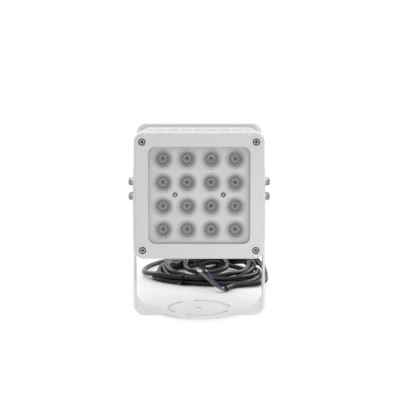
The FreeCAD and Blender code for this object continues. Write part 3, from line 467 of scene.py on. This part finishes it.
cableSet = {
    "diameter": 0.0057,
    "shown": 0.00569,
    "facets": 5,
    "lineSteps": 6,
    "lead": [
        (0, 66, 93.1), (0, 84, 93.1), (-3, 104, 81), (-7, 124, 57), (-7, 142, 34),
        (-2, 160, 14.5), (7, 176, 5.5), (15.5, 190, 3), (22.5, 203.5, 2.85),
        (29, 215.5, 2.85), (35.5, 224.5, 2.85), (43, 230.2, 2.85), (52, 233, 2.85)],
    "landing": 7,  # the first point that lies on the floor
    "turns": [  # each point's side of the coil, where the cable runs along that side, x and y
        ("far", 52, 233), ("right", 78, 206), ("right", 78, 190), ("near", 38, 108.5),
        ("left", -54, 150),
        ("far", 0, 205), ("right", 64, 163), ("near", 14, 117.5), ("left", -48, 158),
        ("far", 14, 240), ("right", 71, 166), ("near", 10, 112.5), ("left", -67, 176),
        ("far", 16, 259), ("right", 66, 181), ("near", 14, 124.5), ("left", -42, 166),
        ("far", 8, 231), ("right", 60.5, 190), ("near", 10, 122), ("left", -38, 160),
        ("far", 8.5, 211), ("right", 34, 184), ("near", 8.5, 157), ("left", -17, 184),
        ("far", 14, 222), ("right", 78, 160), ("right", 78, 132), ("near", 54, 106)],
    "tail": [
        (46.5, 104.8, 2.85), (40, 101.2, 2.85), (35.3, 95.5, 2.85), (32.2, 88.5, 2.85),
        (30.5, 83, 2.85)],
    "quarterPoints": 5,
    "lift": 5.78,  # between the middles of two stretches that cross
    "floor": 2.85,
    "hump": 28.0,  # half the length of the rise to a crossing
    "blendStart": (0, 0.066, 0.0931),
    "blendEnd": (-0.006, 0.17, 0.01),
}

settleSet = {
    "steps": 6,  # samples between two points
    "apart": 8,  # lifts along the cable before two stretches can meet
    "sweeps": 400,  # at most
    "ignored": 0.01,  # a lack of height that moves no point
    "settled": 0.02,  # the largest lack of height at which the sweeps end
    "push": 1.2,  # over 1, so that fewer sweeps are needed
}


def quarterTurn(a, b, alongY, count):
    # Points of a quarter ellipse from a to b, which leaves a along Y or along X
    points = []
    for i in range(1, count + 1):
        t = math.radians(90 * i / count)
        if alongY:
            x = b[0] + (a[0] - b[0]) * math.cos(t)
            y = a[1] + (b[1] - a[1]) * math.sin(t)
        else:
            x = a[0] + (b[0] - a[0]) * math.sin(t)
            y = b[1] + (a[1] - b[1]) * math.cos(t)
        points.append([x, y, 0])
    return points


def runLength(places):
    steps = np.linalg.norm(np.diff(places, axis=0), axis=1)
    return np.concatenate(([0], np.cumsum(steps)))


def curveSamples(count):
    # Samples of a curve with so many points. Each has the number of the first of the three
    # points that shape it, and their shares.
    steps = settleSet["steps"]
    index = []
    share = []
    for k in range(count - 2):
        for s in range(steps):
            u = (s + 0.5) / steps
            index.append(k)
            share.append((0.5 * (1 - u) ** 2, 0.5 + u - u * u, 0.5 * u * u))
    return np.array(index), np.array(share)


def findCrossings(flat, index, first):
    # Which samples lie across which earlier ones, and how far above them each has to be
    lift = cableSet["lift"]
    run = runLength(flat)
    gap = np.linalg.norm(flat[:, None] - flat[None], axis=2)
    meets = (gap < lift) & (run[:, None] - run[None] > settleSet["apart"] * lift)
    meets &= (index[None] >= cableSet["landing"] - 1) & (index[:, None] >= first - 1)
    return meets, np.sqrt(np.maximum(lift ** 2 - gap ** 2, 0))


def settleTurns(points, first, last):
    # Raises the coil's points until each stretch lies on the ones that were laid before it
    floor = cableSet["floor"]
    hump = cableSet["hump"]
    place = np.array(points, float)
    index, share = curveSamples(len(place))
    flat = sum(share[:, [c]] * place[index + c, :2] for c in range(3))
    meets, rise = findCrossings(flat, index, first)
    along = runLength(place[:, :2])
    away = np.abs(along[:, None] - along[None])
    reach = np.where(away < hump, 0.5 + 0.5 * np.cos(math.pi * away / hump), 0)  # long low humps
    for sweep in range(settleSet["sweeps"]):
        height = sum(share[:, c] * place[index + c, 2] for c in range(3))
        need = np.maximum(np.where(meets, height[None] + rise, 0).max(1), floor) - height
        need[need < settleSet["ignored"]] = 0
        if need.max() < settleSet["settled"]:
            break
        raised = place[:, 2].copy()
        for c in range(3):
            lifted = place[index + c, 2] + need * share[:, c] * settleSet["push"]
            np.maximum.at(raised, index + c, lifted)
        spread = floor + ((raised - floor)[None] * reach)[:, first:last].max(1)
        place[first:last, 2] = np.maximum(raised, spread)[first:last]
    return [tuple(p) for p in place]


def cableRoute():
    points = [list(p) for p in cableSet["lead"]]
    first = len(points)
    turns = cableSet["turns"]
    for a, b in zip(turns, turns[1:]):
        if a[0] == b[0]:
            points.append([b[1], b[2], 0])
        else:
            alongY = a[0] in ("right", "left")
            points += quarterTurn(a[1:], b[1:], alongY, cableSet["quarterPoints"])
    last = len(points)
    points += [list(p) for p in cableSet["tail"]]
    for p in points[first:last]:
        p[2] = cableSet["floor"]
    return [Vector(p) / 1000 for p in settleTurns(points, first, last)]


def newCurve(name, kind, points):
    data = bpy.data.curves.new(name, "CURVE")
    data.dimensions = "3D"
    spline = data.splines.new(kind)
    spline.points.add(len(points) - 1)
    for target, point in zip(spline.points, points):
        target.co = (*point, 1)
    return addObject(name, data), spline


def routeCurve(name, points):
    curve, spline = newCurve(name, "NURBS", points)
    spline.order_u = 3
    spline.use_endpoint_u = True
    spline.resolution_u = cableSet["lineSteps"]
    return curve


def meshOf(piece):
    bpy.context.view_layer.update()
    graph = bpy.context.evaluated_depsgraph_get()
    return bpy.data.meshes.new_from_object(piece.evaluated_get(graph))


def linePath(curve):
    line = meshOf(curve)
    path = [v.co.copy() for v in line.vertices]
    bpy.data.meshes.remove(line)
    return path


def tubeFrom(name, curve, radius, facets):
    # The curve as a smooth tube with flat ends, in place of the curve itself
    curve.data.bevel_depth = radius
    curve.data.bevel_resolution = facets
    curve.data.use_fill_caps = True
    mesh = meshOf(curve)
    bpy.data.objects.remove(curve)
    mesh.name = name
    mesh.materials.clear()
    for polygon in mesh.polygons:
        polygon.use_smooth = len(polygon.vertices) == 4
    return addObject(name, mesh)


def pathLength(path):
    return sum((b - a).length for a, b in zip(path, path[1:]))


cableLine = routeCurve("supply_cable_line", cableRoute())
cablePath = linePath(cableLine)
cable = tubeFrom("supply_cable", cableLine, cableSet["shown"] / 2, cableSet["facets"])
cable.data.materials.append(materials["cable_jacket"])
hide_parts("cable_lead", "cable_coil", "cable_tail")
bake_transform(cable)
print("cable made, length", round(pathLength(cablePath), 3))

# The four cores that leave the cable's end

wireSet = {
    "diameter": 0.0013,
    "facets": 4,
    "core": [
        (30.5, 83, 2.9), (28.7, 79.2, 3.6), (24.6, 78.4, 5.5), (19.3, 84, 7.9),
        (14.3, 92.4, 10.2), (9.5, 101.5, 12.3), (5, 110.5, 14.2), (0.5, 120, 16.6)],
    "across": [
        (0.955, -0.295), (0.7, -0.72), (-0.1, -1), (-0.75, -0.66), (-0.86, -0.5),
        (-0.9, -0.44), (-0.95, -0.3), (-0.95, 0.3)],
    "spread": [1.38, 1.5, 1.6, 1.65, 1.7, 1.75, 1.8, 1.8],
    "stray": {  # points by their number, and how far each is moved
        "wire_purple": [(5, 1.8, 0.3, 0.2), (6, 3.6, 0.4, 0.6), (7, 4.6, -1.5, 1.2)],
        "wire_yellow": [(0, -2.0, 0.7, -1.2), (1, -1.6, 1.4, -1.4), (2, -0.8, 1.2, -1.3),
                        (3, 0, 0.3, -0.5)]},
    "names": ["wire_purple", "wire_blue", "wire_green", "wire_yellow"],
    "bareShare": 0.08,
    "bareHidden": 0.02,  # how far the bare end reaches into its sleeve
    "bareRadius": 0.00045,
    "bareFacets": 3,
}


def wireRoute(i):
    # The cores lie side by side across a common middle line, apart from the points that stray
    middle = (len(wireSet["names"]) - 1) / 2
    route = []
    for core, across, spread in zip(wireSet["core"], wireSet["across"], wireSet["spread"]):
        shift = (i - middle) * spread
        point = (core[0] + across[0] * shift, core[1] + across[1] * shift, core[2])
        route.append(Vector(point) / 1000)
    for k, *move in wireSet["stray"].get(wireSet["names"][i], []):
        route[k] += Vector(move) / 1000
    return route


def trimmedTube(name, path, start, end, radius, facets):
    # A tube along the part of a path between two shares of its length
    total = pathLength(path)
    first = start * total
    last = end * total
    kept = []
    run = 0
    for a, b in zip(path, path[1:]):
        step = (b - a).length
        if run + step > first and not kept:
            kept.append(a.lerp(b, max(first - run, 0) / step))
        if kept and run > first and run < last:
            kept.append(a)
        if run + step >= last:
            kept.append(a.lerp(b, (last - run) / step))
            break
        run += step
    curve = newCurve(name + "_line", "POLY", kept)[0]
    return tubeFrom(name, curve, radius, facets)


def appendMesh(piece, other, slotIndex):
    # Adds another piece's faces to this one, in the given material slot, and removes the other
    joined = bmesh.new()
    joined.from_mesh(piece.data)
    before = len(joined.faces)
    joined.from_mesh(other.data)
    joined.faces.ensure_lookup_table()
    for face in joined.faces[before:]:
        face.material_index = slotIndex
    joined.to_mesh(piece.data)
    joined.free()
    bpy.data.objects.remove(other)


def faceOutwards(mesh):
    solid = bmesh.new()
    solid.from_mesh(mesh)
    bmesh.ops.recalc_face_normals(solid, faces=solid.faces)
    solid.to_mesh(mesh)
    solid.free()


for i, name in enumerate(wireSet["names"]):
    curve = routeCurve(name + "_route", wireRoute(i))
    path = linePath(curve)
    bpy.data.objects.remove(curve)
    sleeved = 1 - wireSet["bareShare"]
    core = trimmedTube(name + "_core", path, 0, sleeved, wireSet["diameter"] / 2,
                       wireSet["facets"])
    bare = trimmedTube(name + "_bare", path, sleeved - wireSet["bareHidden"], 1,
                       wireSet["bareRadius"], wireSet["bareFacets"])
    core.data.materials.append(materials[name])
    core.data.materials.append(materials["tinned_copper"])
    appendMesh(core, bare, 1)
    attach(core, "bracket")
    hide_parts(name)

# The twist tie round the front of the coil

tieSet = {
    "x": -0.0185,
    "frontY": 0.15,  # strands nearer than this are tied
    "rimPoints": 24,
    "width": 0.0024,
    "thickness": 0.0009,
    "innerLow": 0.00002,  # the least height of the band's inner side, just over the floor
    "outerLow": 0.00001,
    "clear": 0.0001,
    "strand": 0.0006,
    "strandPoints": 24,
    "strandEnd": 0.85,  # where the black sleeve ends, as a share of the length
    "tipStart": 0.8,
    "tipShare": 0.8,  # of the strand's radius
    "facets": 3,
    "twistRadius": 0.00065,
    "twistPitch": 0.0042,
    "twistEnds": [(-0.0045, -0.0018, -0.0004), (0.0065, -0.0022, -0.0004)],
    "twistHeight": 0.0028,
}


def hullOf(points):
    # The points that a string drawn round all of them would touch, in order
    points = sorted(set(points))
    lower = []
    upper = []
    for side, order in ((lower, points), (upper, points[::-1])):
        for p in order:
            while len(side) > 1:
                (ax, ay), (bx, by) = side[-2], side[-1]
                if (bx - ax) * (p[1] - ay) - (by - ay) * (p[0] - ax) > 0:
                    break
                side.pop()
            side.append(p)
    return lower[:-1] + upper[:-1]


def tieOutline():
    # The tie is drawn tight round the strands that cross its plane in front
    radius = cableSet["shown"] / 2 + tieSet["clear"]
    rim = []
    for a, b in zip(cablePath, cablePath[1:]):
        if (a.x - tieSet["x"]) * (b.x - tieSet["x"]) <= 0 and a.y < tieSet["frontY"]:
            t = (tieSet["x"] - a.x) / (b.x - a.x)
            y = a.y + (b.y - a.y) * t
            z = a.z + (b.z - a.z) * t
            for k in range(tieSet["rimPoints"]):
                angle = 2 * math.pi * k / tieSet["rimPoints"]
                rim.append((round(y + radius * math.cos(angle), 6),
                            round(z + radius * math.sin(angle), 6)))
    return hullOf(rim)


def makeTie():
    outline = tieOutline()
    mesh = bpy.data.meshes.new("cable_tie_band")
    verts = []
    faces = []
    half = tieSet["width"] / 2
    count = len(outline)
    middle = Vector((sum(p[0] for p in outline) / count, sum(p[1] for p in outline) / count))
    for y, z in outline:
        away = (Vector((y, z)) - middle).normalized() * tieSet["thickness"]
        outerZ = max(z + away.y, tieSet["outerLow"])
        for side in (-half, half):
            verts.append((tieSet["x"] + side, y, max(z, tieSet["innerLow"])))
        for side in (half, -half):
            verts.append((tieSet["x"] + side, y + away.x, outerZ))
    for i in range(count):
        j = (i + 1) % count
        for k in range(4):
            m = (k + 1) % 4
            faces.append((4 * i + k, 4 * i + m, 4 * j + m, 4 * j + k))
    mesh.from_pydata(verts, [], faces)
    mesh.update()
    faceOutwards(mesh)
    band = addObject("cable_tie_band", mesh)
    front = min(p[0] for p in outline)
    return band, front


def makeTwist(front):
    # The strip's two ends, wound round each other and bent aside along the front of the coil
    startY = front - tieSet["thickness"] - tieSet["twistRadius"]
    start = Vector((tieSet["x"], startY, tieSet["twistHeight"]))
    count = tieSet["strandPoints"]
    twist = None
    for end in tieSet["twistEnds"]:
        run = Vector(end)
        side = run.cross(Vector((0, 0, 1))).normalized()
        lift = side.cross(run).normalized()
        for phase in (0, math.pi):
            line = []
            for k in range(count + 1):
                turn = 2 * math.pi * run.length * k / count / tieSet["twistPitch"] + phase
                out = side * math.cos(turn) + lift * math.sin(turn)
                line.append(start + run * (k / count) + out * tieSet["twistRadius"])
            strand = trimmedTube("tie_strand", line, 0, tieSet["strandEnd"], tieSet["strand"],
                                 tieSet["facets"])
            tip = trimmedTube("tie_tip", line, tieSet["tipStart"], 1,
                              tieSet["strand"] * tieSet["tipShare"], tieSet["facets"])
            strand.data.materials.append(materials["tie_black"])
            strand.data.materials.append(materials["tinned_copper"])
            appendMesh(strand, tip, 1)
            if twist is None:
                twist = strand
            else:
                appendMesh(twist, strand, 0)
    twist.name = "cable_tie_twist"
    twist.data.name = "cable_tie_twist"
    return twist


tieBand, tieFrontY = makeTie()
tieBand.data.materials.append(materials["tie_black"])
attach(tieBand, "bracket")
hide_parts("cable_tie")
tieTwist = makeTwist(tieFrontY)
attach(tieTwist, "bracket")
print("tie made")

# Lenses, their holders and the emitters: one profile each, repeated over the field

fieldSet = {
    "columns": 4,
    "rows": 4,
    "pitchX": 0.0254,
    "pitchZ": 0.0252,
    "centreZ": 0.1339,
    "plateFront": -0.0401,
    "segments": 56,
    "sharpAngle": 32,
}


def setRing(mesh):
    # Each point's distance from the axis, for ringMaterial to shade by
    ring = mesh.attributes.new("ring", "FLOAT", "POINT")
    shares = [math.hypot(v.co.x, v.co.z) / ringSet["fullRadius"] for v in mesh.vertices]
    ring.data.foreach_set("value", shares)


def revolve(name, profile, segments):
    # Profile of (radius, depth) in millimetres, turned about the Y axis; depth runs backwards
    mesh = bpy.data.meshes.new(name)
    verts = []
    faces = []
    rings = []
    for radius, depth in profile:
        if radius == 0:
            rings.append([len(verts)] * segments)
            verts.append((0, depth / 1000, 0))
        else:
            ring = []
            for k in range(segments):
                angle = 2 * math.pi * k / segments
                ring.append(len(verts))
                x = radius / 1000 * math.cos(angle)
                z = radius / 1000 * math.sin(angle)
                verts.append((x, depth / 1000, z))
            rings.append(ring)
    pairs = list(zip(rings, rings[1:]))
    if profile[0][0] > 0:  # a closed ring, with nothing on the axis
        pairs.append((rings[-1], rings[0]))
    for a, b in pairs:
        for k in range(segments):
            m = (k + 1) % segments
            face = list(dict.fromkeys([a[k], a[m], b[m], b[k]]))
            if len(face) > 2:
                faces.append(face)
    mesh.from_pydata(verts, [], faces)
    faceOutwards(mesh)
    mesh.polygons.foreach_set("use_smooth", [True] * len(mesh.polygons))
    mesh.set_sharp_from_angle(angle=math.radians(fieldSet["sharpAngle"]))
    setRing(mesh)
    return mesh


def arcPoints(start, end, bulge, count):
    # Points from start to end along a shallow arc that swells by bulge to the left of the run
    dx = end[0] - start[0]
    dy = end[1] - start[1]
    span = math.hypot(dx, dy)
    points = []
    for i in range(1, count):
        t = i / count
        out = 4 * bulge * t * (1 - t) / span
        points.append((start[0] + dx * t - dy * out, start[1] + dy * t + dx * out))
    return points


lensProfile = [(0, 0), (9.15, 0), (9.3, 0.15), (9.3, 1.0), (0, 1.0)]
bowlProfile = [
    (9.3, 1.02), (8.9, 1.1), (8.2, 1.6), (7.3, 2.6), (6.3, 3.9), (5.3, 5.3), (4.6, 6.3),
    (4.4, 6.35), (4.3, 5.9), (3.9, 5.6), (3.1, 5.55), (2.4, 5.7), (2.0, 6.0), (1.95, 9.8),
    (2.6, 9.8), (5.6, 7.9), (9.25, 1.6)]
holderProfile = [
    (9.42, 0.12), (9.55, 0.0), (10.5, 0.0), (10.68, 0.18), (10.68, 2.875), (6.6, 11.45),
    (5.8, 11.5), (9.38, 2.2), (9.42, 1.15)]
baseProfile = [
    (0, 11.49), (3.3, 11.49), (3.4, 11.4), (3.4, 10.62), (3.28, 10.5), (2.0, 10.5),
    (0, 10.52)]
domeProfile = [
    (0, 5.9), *arcPoints((0, 5.9), (1.9, 6.5), 0.2, 10), (1.9, 6.5), (1.9, 10.5), (0, 10.51)]


def makeFieldGroup(material):
    # Repeats a piece on an upright grid and gives it its material
    tree = bpy.data.node_groups.new("field_" + material.name, "GeometryNodeTree")
    tree.interface.new_socket(name="Geometry", in_out="INPUT", socket_type="NodeSocketGeometry")
    sockets = {}
    kinds = {"Columns": "Int", "Rows": "Int", "Width": "Float", "Height": "Float",
             "Place": "Vector"}
    for key, kind in kinds.items():
        socket = tree.interface.new_socket(name=key, in_out="INPUT",
                                           socket_type="NodeSocket" + kind)
        sockets[key] = socket.identifier
    tree.interface.new_socket(name="Geometry", in_out="OUTPUT", socket_type="NodeSocketGeometry")
    start = tree.nodes.new("NodeGroupInput")
    end = tree.nodes.new("NodeGroupOutput")
    grid = tree.nodes.new("GeometryNodeMeshGrid")
    turn = tree.nodes.new("GeometryNodeTransform")
    turn.inputs["Rotation"].default_value = (math.pi / 2, 0, 0)
    repeat = tree.nodes.new("GeometryNodeInstanceOnPoints")
    real = tree.nodes.new("GeometryNodeRealizeInstances")
    dress = tree.nodes.new("GeometryNodeSetMaterial")
    dress.inputs["Material"].default_value = material
    links = tree.links
    links.new(start.outputs["Columns"], grid.inputs["Vertices X"])
    links.new(start.outputs["Rows"], grid.inputs["Vertices Y"])
    links.new(start.outputs["Width"], grid.inputs["Size X"])
    links.new(start.outputs["Height"], grid.inputs["Size Y"])
    links.new(grid.outputs["Mesh"], turn.inputs["Geometry"])
    links.new(start.outputs["Place"], turn.inputs["Translation"])
    links.new(turn.outputs["Geometry"], repeat.inputs["Points"])
    links.new(start.outputs["Geometry"], repeat.inputs["Instance"])
    links.new(repeat.outputs["Instances"], real.inputs["Geometry"])
    links.new(real.outputs["Geometry"], dress.inputs["Geometry"])
    links.new(dress.outputs["Geometry"], end.inputs["Geometry"])
    return tree, sockets


def repeatOverField(name, profile, material):
    seed = addObject(name + "_seed", revolve(name + "_seed", profile, fieldSet["segments"]))
    tree, sockets = makeFieldGroup(material)
    modifier = seed.modifiers.new("field", "NODES")
    modifier.node_group = tree
    modifier[sockets["Columns"]] = fieldSet["columns"]
    modifier[sockets["Rows"]] = fieldSet["rows"]
    modifier[sockets["Width"]] = fieldSet["pitchX"] * (fieldSet["columns"] - 1)
    modifier[sockets["Height"]] = fieldSet["pitchZ"] * (fieldSet["rows"] - 1)
    modifier[sockets["Place"]] = (0.0, fieldSet["plateFront"], fieldSet["centreZ"])
    mesh = meshOf(seed)
    bpy.data.objects.remove(seed)
    mesh.name = name
    piece = addObject(name, mesh)
    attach(piece, "head")
    return piece


lenses = repeatOverField("lenses", lensProfile, materials["lens_clear"])
lensNodes = ["lens_%d_%d" % (r + 1, c + 1)
             for r in range(fieldSet["rows"]) for c in range(fieldSet["columns"])]
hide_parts(*lensNodes)
holders = repeatOverField("lens_cups", holderProfile, materials["lens_rim"])
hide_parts("lens_holders")
bases = repeatOverField("emitter_bases", baseProfile, materials["emitter_dark"])
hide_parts("led_emitters")
domes = repeatOverField("emitter_domes", domeProfile, materials["chip_blue"])
bowls = repeatOverField("lens_bowls", bowlProfile, materials["lens_bowl"])
print("lens field made")

# Floor, surroundings and lamps. Each lamp has its name, place, target, size and power.

studioSet = {
    "floorHalf": 6,
    "floorHeight": -0.0001,
    "floorShade": 0.88,
    "floorDrift": 0.01,
    "floorNoise": 3.0,
    "floorRough": 0.8,
    "floorSpecular": 0.2,
    "clearShape": (2, 1, 1),  # the shadow is half as wide as it is deep
    "clearMiddle": (0, 0.105, 0),
    "clearFrom": 0.13,  # from here to clearTo the floor fades to plain white
    "clearTo": 0.17,
    "ambient": 0.55,
    "lamps": [
        ("lamp_top", (0.1, 0, 1.5), (0, 0, 0.1), (1.5, 1.4), 6.6),
        ("lamp_back", (-0.95, 1.1, 0.9), (0, 0, 0.05), (0.8, 0.8), 6.6),
        ("lamp_back", (0.95, 1.1, 0.9), (0, 0, 0.05), (0.8, 0.8), 6.6),
        ("lamp_high", (0.1, -1.1, 1.3), (0, 0, 0.1), (1.4, 0.8), 1.9),
        ("lamp_left", (-1.0, 0.55, 0.6), (0, 0.1, 0), (0.25, 0.25), 1.5)],
    "card": ("lamp_card", (0.14, -0.3, 0.01), (0, -0.06, 0.11), (0.3, 0.12), 0.34),
}


def clearMask(tree):
    # 1 where the floor is seen away from the object, and 0 near it, where the shadow stays
    place = addNode(tree, "TexCoord")
    narrowed = addNode(tree, "VectorMath", operation="MULTIPLY")
    narrowed.inputs[1].default_value = studioSet["clearShape"]
    radius = addNode(tree, "VectorMath", operation="DISTANCE")
    radius.inputs[1].default_value = studioSet["clearMiddle"]
    fade = addNode(tree, "MapRange", interpolation_type="SMOOTHSTEP")
    fade.inputs["From Min"].default_value = studioSet["clearFrom"]
    fade.inputs["From Max"].default_value = studioSet["clearTo"]
    rays = addNode(tree, "LightPath")
    seen = addNode(tree, "Math", operation="MAXIMUM")
    mask = addNode(tree, "Math", operation="MULTIPLY")
    join(tree, place, "Object", narrowed, 0)
    join(tree, narrowed, 0, radius, 0)
    join(tree, radius, "Value", fade, "Value")
    join(tree, rays, "Is Camera Ray", seen, 0)
    join(tree, rays, "Is Transmission Ray", seen, 1)
    join(tree, seen, 0, mask, 0)
    join(tree, fade, "Result", mask, 1)
    return mask


def floorMaterial():
    material, tree, output = newMaterial("floor")
    shader = addNode(tree, "BsdfPrincipled", Roughness=studioSet["floorRough"])
    shader.inputs["Specular IOR Level"].default_value = studioSet["floorSpecular"]
    noise = addNode(tree, "TexNoise", Scale=studioSet["floorNoise"])
    shade = studioSet["floorShade"]
    ramp = addRamp(tree, [(0, (shade,) * 3), (1, (shade + studioSet["floorDrift"],) * 3)])
    white = addNode(tree, "Emission", Color=(1, 1, 1, 1), Strength=1.0)
    choose = addNode(tree, "MixShader")
    join(tree, noise, "Fac", ramp, "Fac")
    join(tree, ramp, "Color", shader, "Base Color")
    join(tree, clearMask(tree), 0, choose, 0)
    join(tree, shader, "BSDF", choose, 1)
    join(tree, white, "Emission", choose, 2)
    join(tree, choose, "Shader", output, "Surface")
    return material


def makeFloor():
    mesh = bpy.data.meshes.new("floor")
    half = studioSet["floorHalf"]
    corners = [(-half, -half), (half, -half), (half, half), (-half, half)]
    mesh.from_pydata([(*c, studioSet["floorHeight"]) for c in corners], [], [(0, 1, 2, 3)])
    mesh.materials.append(floorMaterial())
    addObject("floor", mesh)


def makeWorld():
    # White for what the camera, metal and glass see, and a lower ambient light on the object
    world = bpy.data.worlds.new("studio")
    bpy.context.scene.world = world
    world.use_nodes = True
    tree = world.node_tree
    tree.nodes.clear()
    output = addNode(tree, "OutputWorld")
    seen = addNode(tree, "Background", Color=(1, 1, 1, 1), Strength=1.0)
    glow = addNode(tree, "Background", Color=(1, 1, 1, 1), Strength=studioSet["ambient"])
    rays = addNode(tree, "LightPath")
    choose = addNode(tree, "MixShader")
    sharp = addNode(tree, "Math", operation="MAXIMUM")
    clear = addNode(tree, "Math", operation="MAXIMUM")
    join(tree, rays, "Is Camera Ray", sharp, 0)
    join(tree, rays, "Is Glossy Ray", sharp, 1)
    join(tree, sharp, 0, clear, 0)
    join(tree, rays, "Is Transmission Ray", clear, 1)
    join(tree, clear, 0, choose, 0)
    join(tree, glow, 0, choose, 1)
    join(tree, seen, 0, choose, 2)
    join(tree, choose, "Shader", output, "Surface")


def addLamp(name, place, target, size, power):
    data = bpy.data.lights.new(name, "AREA")
    data.shape = "RECTANGLE"
    data.size = size[0]
    data.size_y = size[1]
    data.energy = power
    lamp = addObject(name, data)
    lamp.location = place
    aim = Vector(target) - Vector(place)
    lamp.rotation_euler = aim.to_track_quat("-Z", "Y").to_euler()
    lamp.visible_camera = False
    return lamp


makeFloor()
makeWorld()
for values in studioSet["lamps"]:
    addLamp(*values)
card = addLamp(*studioSet["card"])
card.visible_glossy = False  # the window doesn't mirror it
card.visible_transmission = False
bpy.context.scene.view_settings.view_transform = "Standard"
print("studio made")
